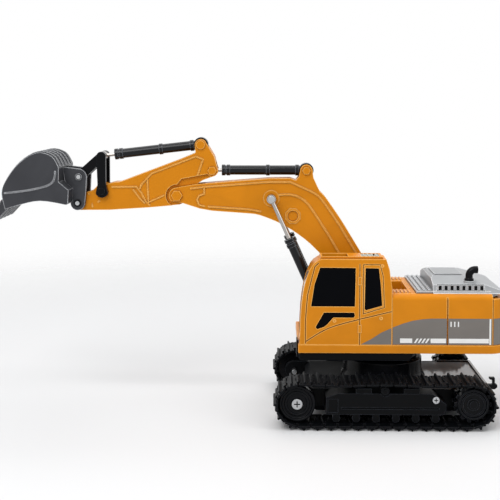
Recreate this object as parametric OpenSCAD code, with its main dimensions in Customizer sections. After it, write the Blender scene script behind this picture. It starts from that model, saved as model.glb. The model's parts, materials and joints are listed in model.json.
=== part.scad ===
// Toy excavator: tracked undercarriage, swinging house, boom, stick and bucket.
// Frame: +Z up, the bucket reaches towards -X, the cab is on the -Y side,
// the origin is on the ground under the middle of the whole model.
// Points in a side view are written [x, z].

/* [Undercarriage] */
// Distance of the slew axis behind the middle of the whole model
slew_x = 84; // [74:1:94]
// Distance between the centre lines of the two tracks
track_gauge = 78; // [74:1:86]
// Distance between the idler axle and the sprocket axle
wheel_base = 103.5; // [96:0.5:116]
// Distance of the middle of the tracks in front of the slew axis
track_ahead = 3.3; // [2:0.1:8]
// Number of links in one track
link_count = 36; // [34:1:38]
// Width of a track shoe
shoe_w = 22; // [20:0.5:24]
// Radius of the track's hinge line round a wheel
hinge_r = 12.4; // [11.8:0.1:13]
// Thickness of a track shoe
link_t = 1.2; // [1:0.1:1.4]
// Height of the bar under a track shoe
grouser_h = 1.6; // [0.8:0.1:1.8]
// Sag of the track's upper run between its supports
track_sag = 0.7; // [0:0.1:1]
// Width of a track wheel
wheel_w = 14; // [12:0.5:15]
// Height of the top of the chassis
chassis_top = 20.5; // [19:0.5:23]
// Radius of the slew column
column_r = 24.5; // [22:0.5:26]

/* [House] */
// Width of the house
house_w = 62; // [58:1:66]
// Distance of the front of the house from the slew axis
house_front = 54; // [50:1:58]
// Distance of the rear of the house from the slew axis
house_rear = 72; // [68:1:78]
// Height of the bottom of the turning base plate
base_z = 36; // [35:0.5:38]
// Thickness of the base plate
base_t = 5; // [4:0.5:6]
// Height of the orange floor band
band_h = 5.1; // [4:0.1:6]
// Height of the side panels above the floor band
panel_h = 30.5; // [28:0.5:33]
// Wall thickness of the moulded panels
wall = 1.8; // [1.4:0.1:2.2]
// Width of the recess that the boom stands in
well_w = 28; // [27:0.5:29]
// Distance of the rear of the cab from the slew axis, negative is in front of it
cab_rear = 2.2; // [0:0.1:4]
// Height of the cab above the floor band
cab_h = 51.8; // [48:0.2:55]

/* [Boom] */
// Distance of the boom's foot pin in front of the slew axis
foot_ahead = 6.5; // [3:0.5:8]
// Height of the boom's foot pin above the ground
foot_z = 66; // [65:0.5:68]
// Distance of the stick's pivot in front of the boom's foot pin
boom_reach = 122.8; // [118:0.1:130]
// Height of the stick's pivot above the boom's foot pin
boom_rise = 67.6; // [65:0.1:70]
// Width of the boom
boom_w = 12.4; // [12:0.2:12.8]
// Distance between the two boom cylinders
cylinder_gauge = 20.6; // [20.4:0.1:20.8]

/* [Stick and bucket] */
// Distance of the bucket's pivot in front of the stick's pivot
stick_reach = 61.7; // [58:0.1:66]
// Drop of the bucket's pivot below the stick's pivot
stick_drop = 4.6; // [3:0.1:6]
// Width of the stick
stick_w = 12; // [11.4:0.2:12.4]
// Length of the rocker between its two pins
rocker_len = 21.7; // [21:0.1:22.4]
// Width of the bucket
bucket_w = 43.5; // [38:0.5:50]
// Number of bucket teeth
tooth_count = 5; // [3:1:5]
// Thickness of the bucket's shell
bucket_t = 1.6; // [1.2:0.1:2]

/* [Cylinders] */
// Outer radius of the boom cylinder barrels
boom_barrel_r = 3; // [2.9:0.05:3.05]
// Outer radius of the arm and bucket cylinder barrels
arm_barrel_r = 2.95; // [2.8:0.05:3.1]
// Radius of the boom cylinder rods
boom_rod_r = 1.3; // [1.1:0.05:1.3]
// Radius of the arm and bucket cylinder rods
arm_rod_r = 1.1; // [1:0.05:1.2]
// Wall thickness of a barrel tube
barrel_wall = 0.5; // [0.4:0.05:0.55]

/* [Fits] */
// Gap between parts that slide past each other
slip = 0.3; // [0.2:0.05:0.4]
// Radial gap between a pin and its bore
pin_gap = 0.1; // [0.06:0.01:0.1]

/* [Hidden] */
$fn = 48;

ORANGE = [0.83, 0.54, 0.16];
BLACK = [0.06, 0.06, 0.07];
DARK = [0.28, 0.28, 0.30];
SILVER = [0.77, 0.78, 0.79];
STEEL = [0.70, 0.71, 0.72];
GLASS = [0.03, 0.03, 0.04];

// ---- Undercarriage layout
half_gauge = track_gauge / 2;
track_mid_x = slew_x - track_ahead;
idler_x = track_mid_x - wheel_base / 2;
sprocket_x = track_mid_x + wheel_base / 2;
axle_z = hinge_r + link_t / 2 + grouser_h;
track_length = 2 * wheel_base + 2 * PI * hinge_r;
link_pitch = track_length / link_count;
link_turn = link_pitch / hinge_r * 180 / PI;
// Distance of the middle of a link's inner face from the axle
link_inner_r = hinge_r * cos(link_turn / 2) - link_t / 2;
wheel_r = link_inner_r - slip;
knuckle_r = 1.2;
knuckle_w = 5;
bar_r = 0.6;
lug_w = 3;
lug_h = 2;
groove_r = link_inner_r - lug_h - 2 * slip;
axle_r = 1.5;
run_top = axle_z + hinge_r - knuckle_r - track_sag;
run_bottom = axle_z - hinge_r + knuckle_r;

// ---- Track frames and chassis
frame_in = half_gauge - shoe_w / 2 - 0.8;
frame_plate_t = half_gauge - wheel_w / 2 - slip - frame_in;
frame_out = half_gauge + wheel_w / 2;
beam_x0 = idler_x + wheel_r + 6.2;
beam_x1 = sprocket_x - wheel_r - 5.2;
beam_z0 = 8.5;
beam_z1 = 21;
axle_bar_h = 5.2;
roller_r = 2.3;
roller_z = run_bottom + slip + roller_r;
carrier_r = 2.6;
carrier_z = run_top - slip - carrier_r;
chassis_x0 = slew_x - 48;
chassis_x1 = sprocket_x + 12.3;
chassis_z0 = 5;
skin = 2;
battery_x = slew_x - 12;
battery_l = 52;
battery_w = 34;
cell_r = (battery_w - 2.8) / 6;
cell_l = battery_l - 4;
gear_x0 = sprocket_x - 13;
roller_count = 6;
hook_z = chassis_top - 7.5;
switch_x = battery_x + battery_l / 2 + 14;
motor_y1 = 14.6;
switch_travel = 3;
frame_screw = [beam_x1 - 6, beam_z1 - 3.6];

// ---- House layout
band_z = base_z + base_t;
floor_z = band_z + band_h;
deck_z = floor_z + panel_h;
house_y = house_w / 2;
front_x = slew_x - house_front;
rear_x = slew_x + house_rear;
cab_x1 = slew_x + cab_rear;
well_y = well_w / 2;
well_x1 = slew_x + 13.6;
cover_x0 = slew_x + 17.2;
block_x0 = slew_x + 27.4;
weight_x = rear_x - 9.4;
box_x0 = front_x + 4;
corner_r = 11;
roof_z = floor_z + cab_h;
column_z = base_z - slip - 2.4;
spigot_r = 12;
cab_y0 = -house_y + 0.2;
cab_y1 = -well_y - slip / 3;
// Depth of the moulded seams round the doors
seam_d = 0.6;
// Height of the raised panel round the roof openings
roof_top = roof_z + 1.4;
hatch_x0 = front_x + 14.5;
hatch_x1 = front_x + 30;
vent_x0 = front_x + 38;
vent_x1 = front_x + 49;
hatch_y0 = cab_y0 + 3;
hatch_y1 = cab_y1 - 3;
block_h = 8.8;
grille_x0 = block_x0 + 2.4;
grille_x1 = block_x0 + 31;
grille_slots = 8;
exhaust = [slew_x + 50, -20.5];
exhaust_r = 2.2;
// Height of the pad that the exhaust pipe stands on
exhaust_seat = deck_z + 7;

// ---- Arm pivots, [x, z]
foot = [slew_x - foot_ahead, foot_z];
stick_pivot = foot + [-boom_reach, boom_rise];
boom_pin = foot + [-63.8, 66];
arm_base = foot + [-42, 83.2];
lift_base = [slew_x - 36, band_z + 15];
arm_tip = stick_pivot + [22.1, 15.6];
ear_pin = stick_pivot + [14.9, 31.7];
bucket_pivot = stick_pivot + [-stick_reach, -stick_drop];
rocker_pivot = bucket_pivot + [15.1, 7.5];
rocker_pin = rocker_pivot + rocker_len * [cos(91), sin(91)];
link_pin = bucket_pivot + [0.7, 16.4];

boom_y = boom_w / 2;
stick_y = stick_w / 2;
fork_y = boom_y - 1.5 - slip;
ear_y = stick_y + slip;
ear_t = 2.4;
eye_y = 2.8;
slot_y = eye_y + slip;
link_y0 = eye_y + slip;
lift_y = cylinder_gauge / 2;
bucket_y = bucket_w / 2;
pin_r = 1.4;
bolt_r = 2;
foot_r = 8;
boom_boss_r = 5;
tip_r = 4.6;
// Radius of the caps at the base pins of the arm and bucket cylinders
cap_r = 4.6;
cheek_y0 = boom_y + slip;
cheek_y1 = well_y - 0.4;
lift_eye_y = boom_barrel_r - 0.1;
link_play = 0.75;
ring_h = 0.5;
lift_l = dist(lift_base, boom_pin);
lift_barrel_l = lift_l - 27;
arm_l = dist(arm_base, arm_tip);
arm_barrel_l = arm_l - 5.8;
tip_l = dist(ear_pin, rocker_pin);
tip_barrel_l = tip_l - 7.6;

// ---------------------------------------------------------------- helpers
function arc(c, r, a0, a1, n = 6) =
    [for (i = [0:n]) c + r * [cos(a0 + (a1 - a0) * i / n), sin(a0 + (a1 - a0) * i / n)]];

// One point of the smooth curve from b to c, with neighbours a and d
function bend(a, b, c, d, t) =
    0.5 * (2 * b + (c - a) * t + (2 * a - 5 * b + 4 * c - d) * t * t
        + (3 * b - a - 3 * c + d) * t * t * t);

// Smooth curve through every point of the list p
function curve(p, n = 3) = concat(
    [for (i = [0:len(p) - 2], k = [0:n - 1])
        bend(p[max(i - 1, 0)], p[i], p[i + 1], p[min(i + 2, len(p) - 1)], k / n)],
    [p[len(p) - 1]]);

function angle(p, q) = atan2(q.y - p.y, q.x - p.x);
function dist(p, q) = norm(q - p);
function from(p, list) = [for (d = list) p + d];

// Side-view outline made solid between y0 and y1
module slab(y0, y1) {
    translate([0, max(y0, y1), 0]) rotate([90, 0, 0]) linear_extrude(abs(y1 - y0)) children();
}

// Round bar across the model at p, between y0 and y1
module bar(p, r, y0, y1) {
    translate([p.x, min(y0, y1), p.y]) rotate([-90, 0, 0]) cylinder(r = r, h = abs(y1 - y0));
}

// Upright round bar at p = [x, y]
module bar_z(p, r, z0, z1) {
    translate([p.x, p.y, z0]) cylinder(r = r, h = z1 - z0);
}

// Puts a piece that is drawn for the right-hand side on either side
module on_side(side) {
    scale([1, side, 1]) children();
}

module hex_bar(p, r, y0, y1) {
    translate([p.x, min(y0, y1), p.y]) rotate([-90, 0, 0]) cylinder(r = r, h = abs(y1 - y0), $fn = 6);
}

module block(lo, hi) {
    translate(lo) cube(hi - lo);
}

// Moulded line along a list of points, width w
module stroke(p, w) {
    for (i = [0:len(p) - 2])
        translate(p[i]) rotate(angle(p[i], p[i + 1]))
            translate([0, -w / 2]) square([dist(p[i], p[i + 1]), w]);
    for (q = p)
        translate(q) circle(w / 2, $fn = 12);
}

// ---------------------------------------------------------------- tracks
// Point on the hinge line, s along it from the bottom below the idler
function run_point(s) =
    let (arc_len = PI * hinge_r)
    s < wheel_base ? [idler_x + s, axle_z - hinge_r] :
    s < wheel_base + arc_len ?
        let (a = (s - wheel_base) / hinge_r * 180 / PI - 90)
        [sprocket_x + hinge_r * cos(a), axle_z + hinge_r * sin(a)] :
    s < 2 * wheel_base + arc_len ?
        let (u = s - wheel_base - arc_len)
        [sprocket_x - u, axle_z + hinge_r - track_sag * pow(sin(360 * u / wheel_base), 2)] :
        let (a = (s - 2 * wheel_base - arc_len) / hinge_r * 180 / PI + 90)
        [idler_x + hinge_r * cos(a), axle_z + hinge_r * sin(a)];

// One snap-together link of length l: a shoe with its bar, cheeks, hook and guide lug.
// Its hinge bar is at x = 0, its hook at x = l, and -Z is the outside.
module track_link(l) {
    end = 0.5;
    side_gap = 0.2;
    cheek_y = 7.5;
    edge = shoe_w / 2;
    difference() {
        union() {
            slab(-edge, edge) polygon([[end, -link_t / 2], [l - end, -link_t / 2],
                [l - end, link_t / 2], [end, link_t / 2]]);
            slab(-edge, edge) polygon([[l / 2 - 0.9, -link_t / 2],
                [l / 2 - 0.45, -link_t / 2 - grouser_h],
                [l / 2 + 0.45, -link_t / 2 - grouser_h], [l / 2 + 0.9, -link_t / 2]]);
            slab(-lug_w / 2, lug_w / 2) polygon([[l / 2 - 1.5, link_t / 2], [l / 2 + 1.5, link_t / 2],
                [l / 2 + 0.8, link_t / 2 + lug_h], [l / 2 - 0.8, link_t / 2 + lug_h]]);
        }
        // Notches for the next link's cheeks and for the last link's hook
        for (s = [-1, 1])
            on_side(s) translate([l - knuckle_r - slip / 2, knuckle_w / 2, -2])
                cube([3, cheek_y + side_gap - knuckle_w / 2, 4]);
        translate([-1, -knuckle_w / 2 - side_gap, -2])
            cube([1 + knuckle_r + slip / 2, knuckle_w + 2 * side_gap, 4]);
        bar([l, 0], bar_r + pin_gap, -knuckle_w, knuckle_w);
    }
    difference() {
        bar([l, 0], knuckle_r, -knuckle_w / 2, knuckle_w / 2);
        bar([l, 0], bar_r + pin_gap, -knuckle_w, knuckle_w);
    }
    for (s = [-1, 1])
        bar([0, 0], knuckle_r, s * (knuckle_w / 2 + side_gap), s * cheek_y);
    bar([0, 0], bar_r, -knuckle_w / 2 - 0.5, knuckle_w / 2 + 0.5);
}

module track(side) {
    color(BLACK) for (i = [0:link_count - 1]) {
        p = run_point(i * link_pitch);
        q = run_point((i + 1) % link_count * link_pitch);
        translate([p.x, side * half_gauge, p.y]) rotate([0, -angle(p, q), 0]) track_link(dist(p, q));
    }
}

// Wheel profile from its axle outwards, revolved: two rims with the groove for the lugs
module wheel_body(rim_r) {
    half = wheel_w / 2;
    groove = lug_w / 2 + 2 * slip;
    bore = axle_r + pin_gap;
    rotate([-90, 0, 0]) rotate_extrude() polygon([[bore, -half], [rim_r - 0.6, -half],
        [rim_r, -half + 0.6],
        [rim_r, -groove], [groove_r, -groove], [groove_r, groove], [rim_r, groove], [rim_r, half - 0.6],
        [rim_r - 0.6, half], [rim_r - 1.6, half], [rim_r - 2.2, half - 1], [7.4, half - 1],
        [7.2, half - 0.4],
        [6, half - 0.4], [5.8, half - 1.2], [3.6, half - 1.2], [3.6, half - 0.6], [bore, half - 0.6]]);
}

module idler(side) {
    color(BLACK) on_side(side) translate([idler_x, half_gauge, axle_z]) wheel_body(wheel_r);
}

// Drive wheel with teeth on both rims
module sprocket(side) {
    teeth = 14;
    color(BLACK) on_side(side) translate([sprocket_x, half_gauge, axle_z]) {
        wheel_body(wheel_r - 1.4);
        for (y = [-wheel_w / 2 + 1.5, wheel_w / 2 - 4.5])
            intersection() {
                bar([0, 0], wheel_r, y, y + 3);
                for (i = [0:teeth - 1])
                    rotate([0, i * 360 / teeth, 0])
                        slab(y, y + 3) polygon([[wheel_r - 3, -1.5], [wheel_r - 1.4, -1.4],
                            [wheel_r + 1, -0.5],
                            [wheel_r + 1, 0.5], [wheel_r - 1.4, 1.4], [wheel_r - 3, 1.5]]);
            }
    }
}

// Cross recess of a screw head whose face is at depth y
module cross_slot(p, y, l, w) {
    for (a = [0, 90])
        translate([p.x, y, p.y]) rotate([0, a, 0])
            cube([l, 1, w], center = true);
}

module wheel_axles() {
    color(STEEL) for (side = [-1, 1]) on_side(side) {
        for (x = [idler_x, sprocket_x])
            bar([x, axle_z], axle_r, frame_in - 6, frame_out - 0.4);
        difference() {
            bar([idler_x, axle_z], 3.1, frame_out - 0.6 + slip, frame_out + 0.8);
            cross_slot([idler_x, axle_z], frame_out + 0.8, 3.6, 0.7);
        }
        bar([sprocket_x, axle_z], 2.4, frame_out - 0.6 + slip, frame_out + 0.2);
    }
}

// ---------------------------------------------------------------- track frames
// Flat bar that carries the axles of both wheels, screwed down behind the side beam
module axle_bar(side) {
    y_plate = frame_in + frame_plate_t;
    color(BLACK) on_side(side) difference() {
        slab(frame_in, y_plate) polygon(concat(
            arc([idler_x, axle_z], 6, 260, 100),
            [[idler_x + 12, axle_z + axle_bar_h], [sprocket_x - 12, axle_z + axle_bar_h]],
            arc([sprocket_x, axle_z], 6, 80, -80),
            [[sprocket_x - 12, axle_z - axle_bar_h], [idler_x + 12, axle_z - axle_bar_h]]));
        for (x = [idler_x, sprocket_x])
            bar([x, axle_z], axle_r + pin_gap, frame_in - 1, y_plate + 1);
        bar(frame_screw, 1 + pin_gap, frame_in - 1, y_plate + 1);
    }
}

module track_frame(side) {
    y_plate = frame_in + frame_plate_t;
    color(BLACK) on_side(side) difference() {
        union() {
            // Flange under the axle bar
            block([beam_x0, frame_in, beam_z0 - 2],
                [beam_x1, y_plate + 0.5, axle_z - axle_bar_h - slip]);
            // Side beam with sloping ends
            slab(y_plate, frame_out) polygon([[beam_x0, beam_z0], [beam_x0, beam_z1 - 2.5],
                [beam_x0 + 7, beam_z1], [beam_x1 - 8, beam_z1], [beam_x1, beam_z1 - 6],
                [beam_x1, beam_z0 + 2], [beam_x1 - 2, beam_z0]]);
            // Moulded road rollers, clear of the guide lugs
            for (i = [0:roller_count - 1], y = [[y_plate, half_gauge - lug_w / 2 - 1],
                    [half_gauge + lug_w / 2 + 1, frame_out - 0.8]]) {
                x = beam_x0 + 6 + i * (beam_x1 - beam_x0 - 12) / (roller_count - 1);
                bar([x, roller_z], roller_r, y[0], y[1]);
                slab(y[0], y[1]) polygon([[x - 2.6, beam_z0 + 1], [x + 2.6, beam_z0 + 1],
                    [x + 1.4, roller_z], [x - 1.4, roller_z]]);
            }
            // Pads and roller post under the upper run
            for (x = [track_mid_x - 12.5, track_mid_x + 15.5])
                block([x - 4.6, half_gauge + 3, beam_z1 - 1], [x + 4.6, frame_out - 0.4, run_top - 1.2]);
            slab(half_gauge + 2.5, half_gauge + 4) polygon([
                [track_mid_x - 3, beam_z1 - 1], [track_mid_x + 3, beam_z1 - 1],
                [track_mid_x + 2, run_top - 0.8], [track_mid_x - 2, run_top - 0.8]]);
        }
        // Long groove and sunk panel in the outer face
        block([beam_x0 + 9, frame_out - 0.8, axle_z - 2.8], [beam_x1 - 4, frame_out + 1, axle_z - 1.9]);
        block([beam_x0 + 1.2, frame_out - 0.6, beam_z0 + 1.2],
            [beam_x0 + 7, frame_out + 1, beam_z1 - 3.4]);
        // Seats of the carrier roller and of the screw
        bar([track_mid_x, carrier_z], carrier_r + slip, half_gauge + 4, frame_out + 1);
        bar([track_mid_x, carrier_z], 1 + pin_gap, half_gauge, frame_out);
        bar(frame_screw, 2.2, frame_out - 0.6, frame_out + 1);
        bar(frame_screw, 1 + pin_gap, frame_in - 1, frame_out);
    }
}

module carrier_rollers() {
    color(BLACK) for (side = [-1, 1]) on_side(side) {
        bar([track_mid_x, carrier_z], carrier_r, half_gauge + 4 + slip, frame_out - 0.2);
        bar([track_mid_x, carrier_z], 1, half_gauge + 2.6, half_gauge + 4.5);
        bar([track_mid_x, carrier_z], 1.6, frame_out - 0.3, frame_out + 0.3);
    }
}

module frame_screws() {
    color(STEEL) for (side = [-1, 1]) on_side(side) difference() {
        union() {
            bar(frame_screw, 2, frame_out - 0.6, frame_out + 0.5);
            bar(frame_screw, 1, frame_in + 0.5, frame_out - 0.6);
        }
        cross_slot(frame_screw, frame_out + 0.5, 2.4, 0.5);
    }
}

// ---------------------------------------------------------------- chassis
module chassis() {
    color(BLACK) difference() {
        union() {
            slab(-frame_in, frame_in) polygon([[chassis_x0, chassis_z0 + 5], [chassis_x0 + 5, chassis_z0],
                [chassis_x1 - 6, chassis_z0], [chassis_x1, chassis_z0 + 5], [chassis_x1, chassis_top],
                [chassis_x0 + 3, chassis_top], [chassis_x0, chassis_top - 3]]);
            // Raised rim round the rear of the top
            block([chassis_x1 - 1.6, -frame_in, chassis_top - 1],
                [chassis_x1, frame_in, chassis_top + 1.2]);
            for (side = [-1, 1])
                on_side(side) block([chassis_x1 - 22, frame_in - 1.2, chassis_top - 1],
                    [chassis_x1, frame_in, chassis_top + 1.2]);
            // Boss of the tow hook
            block([chassis_x1 - 1, -4, hook_z - 3.5], [chassis_x1 + 1.4, 4, hook_z + 3.5]);
        }
        // Battery bay, open below
        block([battery_x - battery_l / 2, -battery_w / 2, chassis_z0 - 1],
            [battery_x + battery_l / 2, battery_w / 2, chassis_top - skin]);
        // Recess of the battery cover
        block([battery_x - battery_l / 2 - 3, -battery_w / 2 - 3, chassis_z0 - 1],
            [battery_x + battery_l / 2 + 3, battery_w / 2 + 3, chassis_z0 + 1.6]);
        // Gear bay, closed inside
        block([gear_x0, skin - frame_in, chassis_z0 + skin],
            [chassis_x1 - skin, frame_in - skin, chassis_top - skin]);
        bar([sprocket_x, axle_z], axle_r + pin_gap, -frame_in - 1, frame_in + 1);
        // Socket of the tow hook
        block([chassis_x1 - 1.8, -1.5 - pin_gap, hook_z - 2.5],
            [chassis_x1 + 2, 1.5 + pin_gap, hook_z + 2.5]);
        // Window of the power switch, beside the battery bay
        block([switch_x - 5, -1.6, chassis_z0 - 1], [switch_x + 5, 1.6, chassis_z0 + 4]);
        block([switch_x - 7, -3, chassis_z0 + 2], [switch_x + 7, 3, chassis_z0 + 6]);
        bar_z([slew_x, 0], 5, chassis_top - 4, chassis_top + 1);
    }
}

module power_switch() {
    color(DARK) {
        block([switch_x - 1.5 - switch_travel / 2, -1.3, chassis_z0 - 1],
            [switch_x + 1.5 - switch_travel / 2, 1.3, chassis_z0 + 3]);
        block([switch_x - 3 - switch_travel / 2, -2.6, chassis_z0 + 2.3],
            [switch_x + 3 - switch_travel / 2, 2.6, chassis_z0 + 5.7]);
    }
}

module battery_cover() {
    x0 = battery_x - battery_l / 2 - 3 + 0.15;
    x1 = battery_x + battery_l / 2 + 3 - 0.15;
    y1 = battery_w / 2 + 3 - 0.15;
    color(BLACK) difference() {
        union() {
            block([x0, -y1, chassis_z0], [x1, y1, chassis_z0 + 1.6]);
            for (i = [-4:4])
                block([battery_x + i * 5 - 0.6, -8, chassis_z0 - 0.5],
                    [battery_x + i * 5 + 0.6, 8, chassis_z0]);
        }
        bar_z([x0 + 4, 0], 1.6, chassis_z0 - 1, chassis_z0 + 0.8);
    }
}

// Three round cells side by side in a shrink sleeve
module battery_pack() {
    color([0.2, 0.35, 0.6]) for (i = [-1:1])
        translate([battery_x - cell_l / 2, i * (2 * cell_r + 0.2), chassis_z0 + 1.6 + cell_r])
            rotate([0, 90, 0]) cylinder(r = cell_r, h = cell_l);
}

module drive_gearboxes() {
    color(SILVER) for (side = [-1, 1]) on_side(side) difference() {
        block([sprocket_x - 9, motor_y1, chassis_z0 + skin],
            [sprocket_x + 8, frame_in - skin, chassis_top - skin - 0.2]);
        bar([sprocket_x, axle_z], axle_r + pin_gap, motor_y1 - 1, frame_in);
    }
}

module drive_motors() {
    color(STEEL) for (side = [-1, 1])
        bar([sprocket_x - 3, chassis_z0 + skin + 5.5], 5.5, side * 1.2, side * motor_y1);
}

module tow_hook() {
    x = chassis_x1 + 4.4;
    z = hook_z;
    color(BLACK) slab(-1.5, 1.5) polygon([[x - 6, z - 2.3], [x + 6, z - 2.3], [x + 7.4, z - 1],
        [x + 7.4, z + 0.6], [x + 5.8, z + 1.4], [x + 5.8, z + 5.2], [x + 2.4, z + 5.2], [x + 2.4, z + 4],
        [x + 4.4, z + 3.6], [x + 4.4, z + 0.8], [x - 2, z + 0.8], [x - 6, z + 2.3]]);
}

module slew_column() {
    color(BLACK) translate([slew_x, 0, 0]) difference() {
        union() {
            translate([0, 0, chassis_top]) cylinder(r1 = frame_in - 0.5, r2 = column_r, h = 4);
            translate([0, 0, chassis_top + 4]) cylinder(r = column_r, h = column_z - chassis_top - 5);
            translate([0, 0, column_z - 1]) cylinder(r1 = column_r, r2 = column_r - 1, h = 1);
        }
        translate([0, 0, chassis_top + 2]) cylinder(r = spigot_r + slip, h = 20);
        translate([0, 0, chassis_top - 1]) cylinder(r = 5, h = 5);
    }
}

// ---------------------------------------------------------------- house, lower part
module slew_spigot() {
    color(BLACK) translate([slew_x, 0, 0]) difference() {
        union() {
            translate([0, 0, column_z + slip]) cylinder(r = column_r - 3, h = base_z - column_z - slip);
            translate([0, 0, chassis_top + 3]) cylinder(r = spigot_r, h = base_z - chassis_top - 4);
        }
        translate([0, 0, chassis_top]) cylinder(r = 5, h = 30);
    }
}

module base_plate() {
    x1 = slew_x + 16;
    color(BLACK) difference() {
        union() {
            slab(2 - house_y, house_y - 2) polygon([[front_x + 1.5, base_z], [x1 - 3, base_z],
                [x1, band_z],
                [front_x + 0.5, band_z], [front_x + 0.5, base_z + 1]]);
            // Front lug below the cab
            block([front_x - 1, -house_y + 4, base_z + 1.6], [front_x + 1, -house_y + 12, band_z - 0.6]);
            block([front_x - 1, -house_y + 4, base_z + 1.6], [front_x - 0.1, -house_y + 12, band_z + 7]);
        }
        bar_z([slew_x, 0], 5, base_z - 1, band_z + 1);
        block([front_x + 6, -house_y + 8, base_z - 1], [front_x + 22, house_y - 8, base_z + 2]);
    }
}

// House outline seen from above, d inside the outer face
function house_plan(d) = concat(
    [[front_x + d, -house_y + d]],
    arc([rear_x - corner_r, -house_y + corner_r], corner_r - d, -90, 0, 8),
    arc([rear_x - corner_r, house_y - corner_r], corner_r - d, 0, 90, 8),
    [[front_x + d, house_y - d]]);

module platform() {
    color(ORANGE) difference() {
        translate([0, 0, band_z]) linear_extrude(band_h) polygon(house_plan(0));
        translate([0, 0, band_z + wall]) linear_extrude(band_h) polygon(house_plan(wall));
        bar_z([slew_x, 0], 5, band_z - 1, band_z + 5);
    }
}

// Side panel: a wall whose top is rounded over inwards
module panel_section(t) {
    r = 3.5;
    polygon(concat([[house_y - 0.6 - t, 0]], [[house_y - 0.6, 0]],
        arc([house_y - 0.6 - r, panel_h - r], r, 0, 90, 6),
        [[house_y - 4.6, panel_h], [house_y - 4.6, panel_h - t]],
        arc([house_y - 0.6 - r, panel_h - r], r - t, 90, 0, 6)));
}

module side_panel(side) {
    y = house_y - 0.6;
    color(ORANGE) on_side(side) difference() {
        translate([weight_x - slip / 2, 0, floor_z]) rotate([90, 0, -90]) mirror([1, 0, 0])
            linear_extrude(weight_x - slip / 2 - cab_x1 - 0.1) panel_section(wall);
        // Seam of the service door
        block([slew_x + 35.1, y - 0.6, floor_z - 1], [slew_x + 35.9, y + 1, deck_z + 1]);
        // Three cooling slots
        for (i = [0:2])
            block([slew_x + 37.5 + i * 2.6, y - 0.7, floor_z + 10.5],
                [slew_x + 38.9 + i * 2.6, y + 1, floor_z + 14.5]);
    }
}

module counterweight() {
    top = panel_h - 2.6;
    color(ORANGE) difference() {
        translate([0, 0, floor_z]) intersection() {
            linear_extrude(top) polygon(house_plan(0.6));
            block([weight_x + slip / 2, -house_y, -1], [rear_x, house_y, panel_h]);
        }
        translate([0, 0, floor_z - 1]) linear_extrude(top - 1) polygon(house_plan(0.6 + wall));
        block([weight_x - 1, -house_y + 6, floor_z - 2], [rear_x - 5, house_y - 6, deck_z]);
    }
}

// Deck between the cab and the engine cover, with step treads
module front_deck() {
    y0 = well_y + wall;
    y1 = house_y - 4.6 - 0.1;
    color(ORANGE) {
        for (side = [-1, 1]) on_side(side) {
            block([cab_x1 + 0.1, y0, deck_z - wall], [cover_x0, y1, deck_z]);
            for (i = [0:4])
                block([cab_x1 + 1.6 + i * 2.3, y0 + 1, deck_z],
                    [cab_x1 + 2.8 + i * 2.3, y1 - 1, deck_z + 0.8]);
        }
        block([well_x1 + wall, -y0, deck_z - wall], [cover_x0, y0, deck_z]);
    }
}

// U-shaped recess round the boom's foot
module boom_well() {
    z0 = band_z + wall;
    color(ORANGE) {
        block([front_x + 14, well_y, z0], [well_x1 + wall, well_y + wall, deck_z]);
        block([cab_x1 + 0.1, -well_y - wall, z0], [well_x1 + wall, -well_y, deck_z]);
        block([well_x1, -well_y, z0], [well_x1 + wall, well_y, deck_z]);
    }
}

// Right-hand tank and tool box with its sloping step front
function box_profile(d) = [[box_x0 + d, floor_z], [box_x0 + d, floor_z + 11 - d],
    [box_x0 + 8, floor_z + 15 - d], [front_x + 30 - d / 2, floor_z + 16 - d],
    [front_x + 37 - d / 2, deck_z - 1.5 - d], [cab_x1 - d, deck_z - 1.5 - d], [cab_x1 - d, floor_z]];

module tool_box() {
    y0 = well_y + wall + 0.05;
    y1 = house_y - 0.6;
    color(ORANGE) {
        difference() {
            slab(y0, y1) polygon(box_profile(0));
            slab(y0 + wall, y1 - wall) polygon(box_profile(wall));
            block([box_x0 + wall, y0 + wall, floor_z - 1], [cab_x1 - wall, y1 - wall, floor_z + 5]);
        }
        for (i = [0:4])
            block([box_x0 + 10 + i * 3.2, y0 + 2, floor_z + 15],
                [box_x0 + 11.4 + i * 3.2, y1 - 2, floor_z + 16.4]);
    }
}

// Two bearing cheeks for the boom's foot and a post for the lift cylinders
module boom_bracket() {
    z0 = band_z + wall;
    post_y = lift_y - boom_barrel_r - slip;
    color(DARK) {
        for (side = [-1, 1]) difference() {
            slab(side * cheek_y0, side * cheek_y1) polygon(concat(
                [[foot.x - 16, z0], [well_x1 - 0.4, z0], [well_x1 - 0.4, z0 + 6]],
                arc(foot, 6.5, -10, 150, 10), [[foot.x - 16, z0 + 6]]));
            bar(foot, 3 + pin_gap, side * (cheek_y0 - 1), side * (cheek_y1 + 1));
        }
        difference() {
            slab(-post_y, post_y) polygon(concat(
                [[lift_base.x - 8, z0], [lift_base.x + 8, z0]],
                arc(lift_base, 4, 0, 180, 10)));
            bar(lift_base, pin_r + pin_gap, -post_y - 1, post_y + 1);
        }
        block([lift_base.x - 8, -cheek_y1, z0], [foot.x - 16, cheek_y1, z0 + 2]);
    }
}

module bracket_pins() {
    color(STEEL) {
        bar(foot, 3, -cheek_y1, cheek_y1);
        bar(lift_base, pin_r, -lift_y - 3.1, lift_y + 3.1);
    }
}

// ---------------------------------------------------------------- engine cover
// Cross-section of the raised engine block: grille face, sloping shoulder, flat crown
function hood_section() = [[-27, 0], [-26, 1.6], [-25, 5], [-14, block_h],
    [14, block_h], [25, 5], [26, 1.6], [27, 0]];

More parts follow.
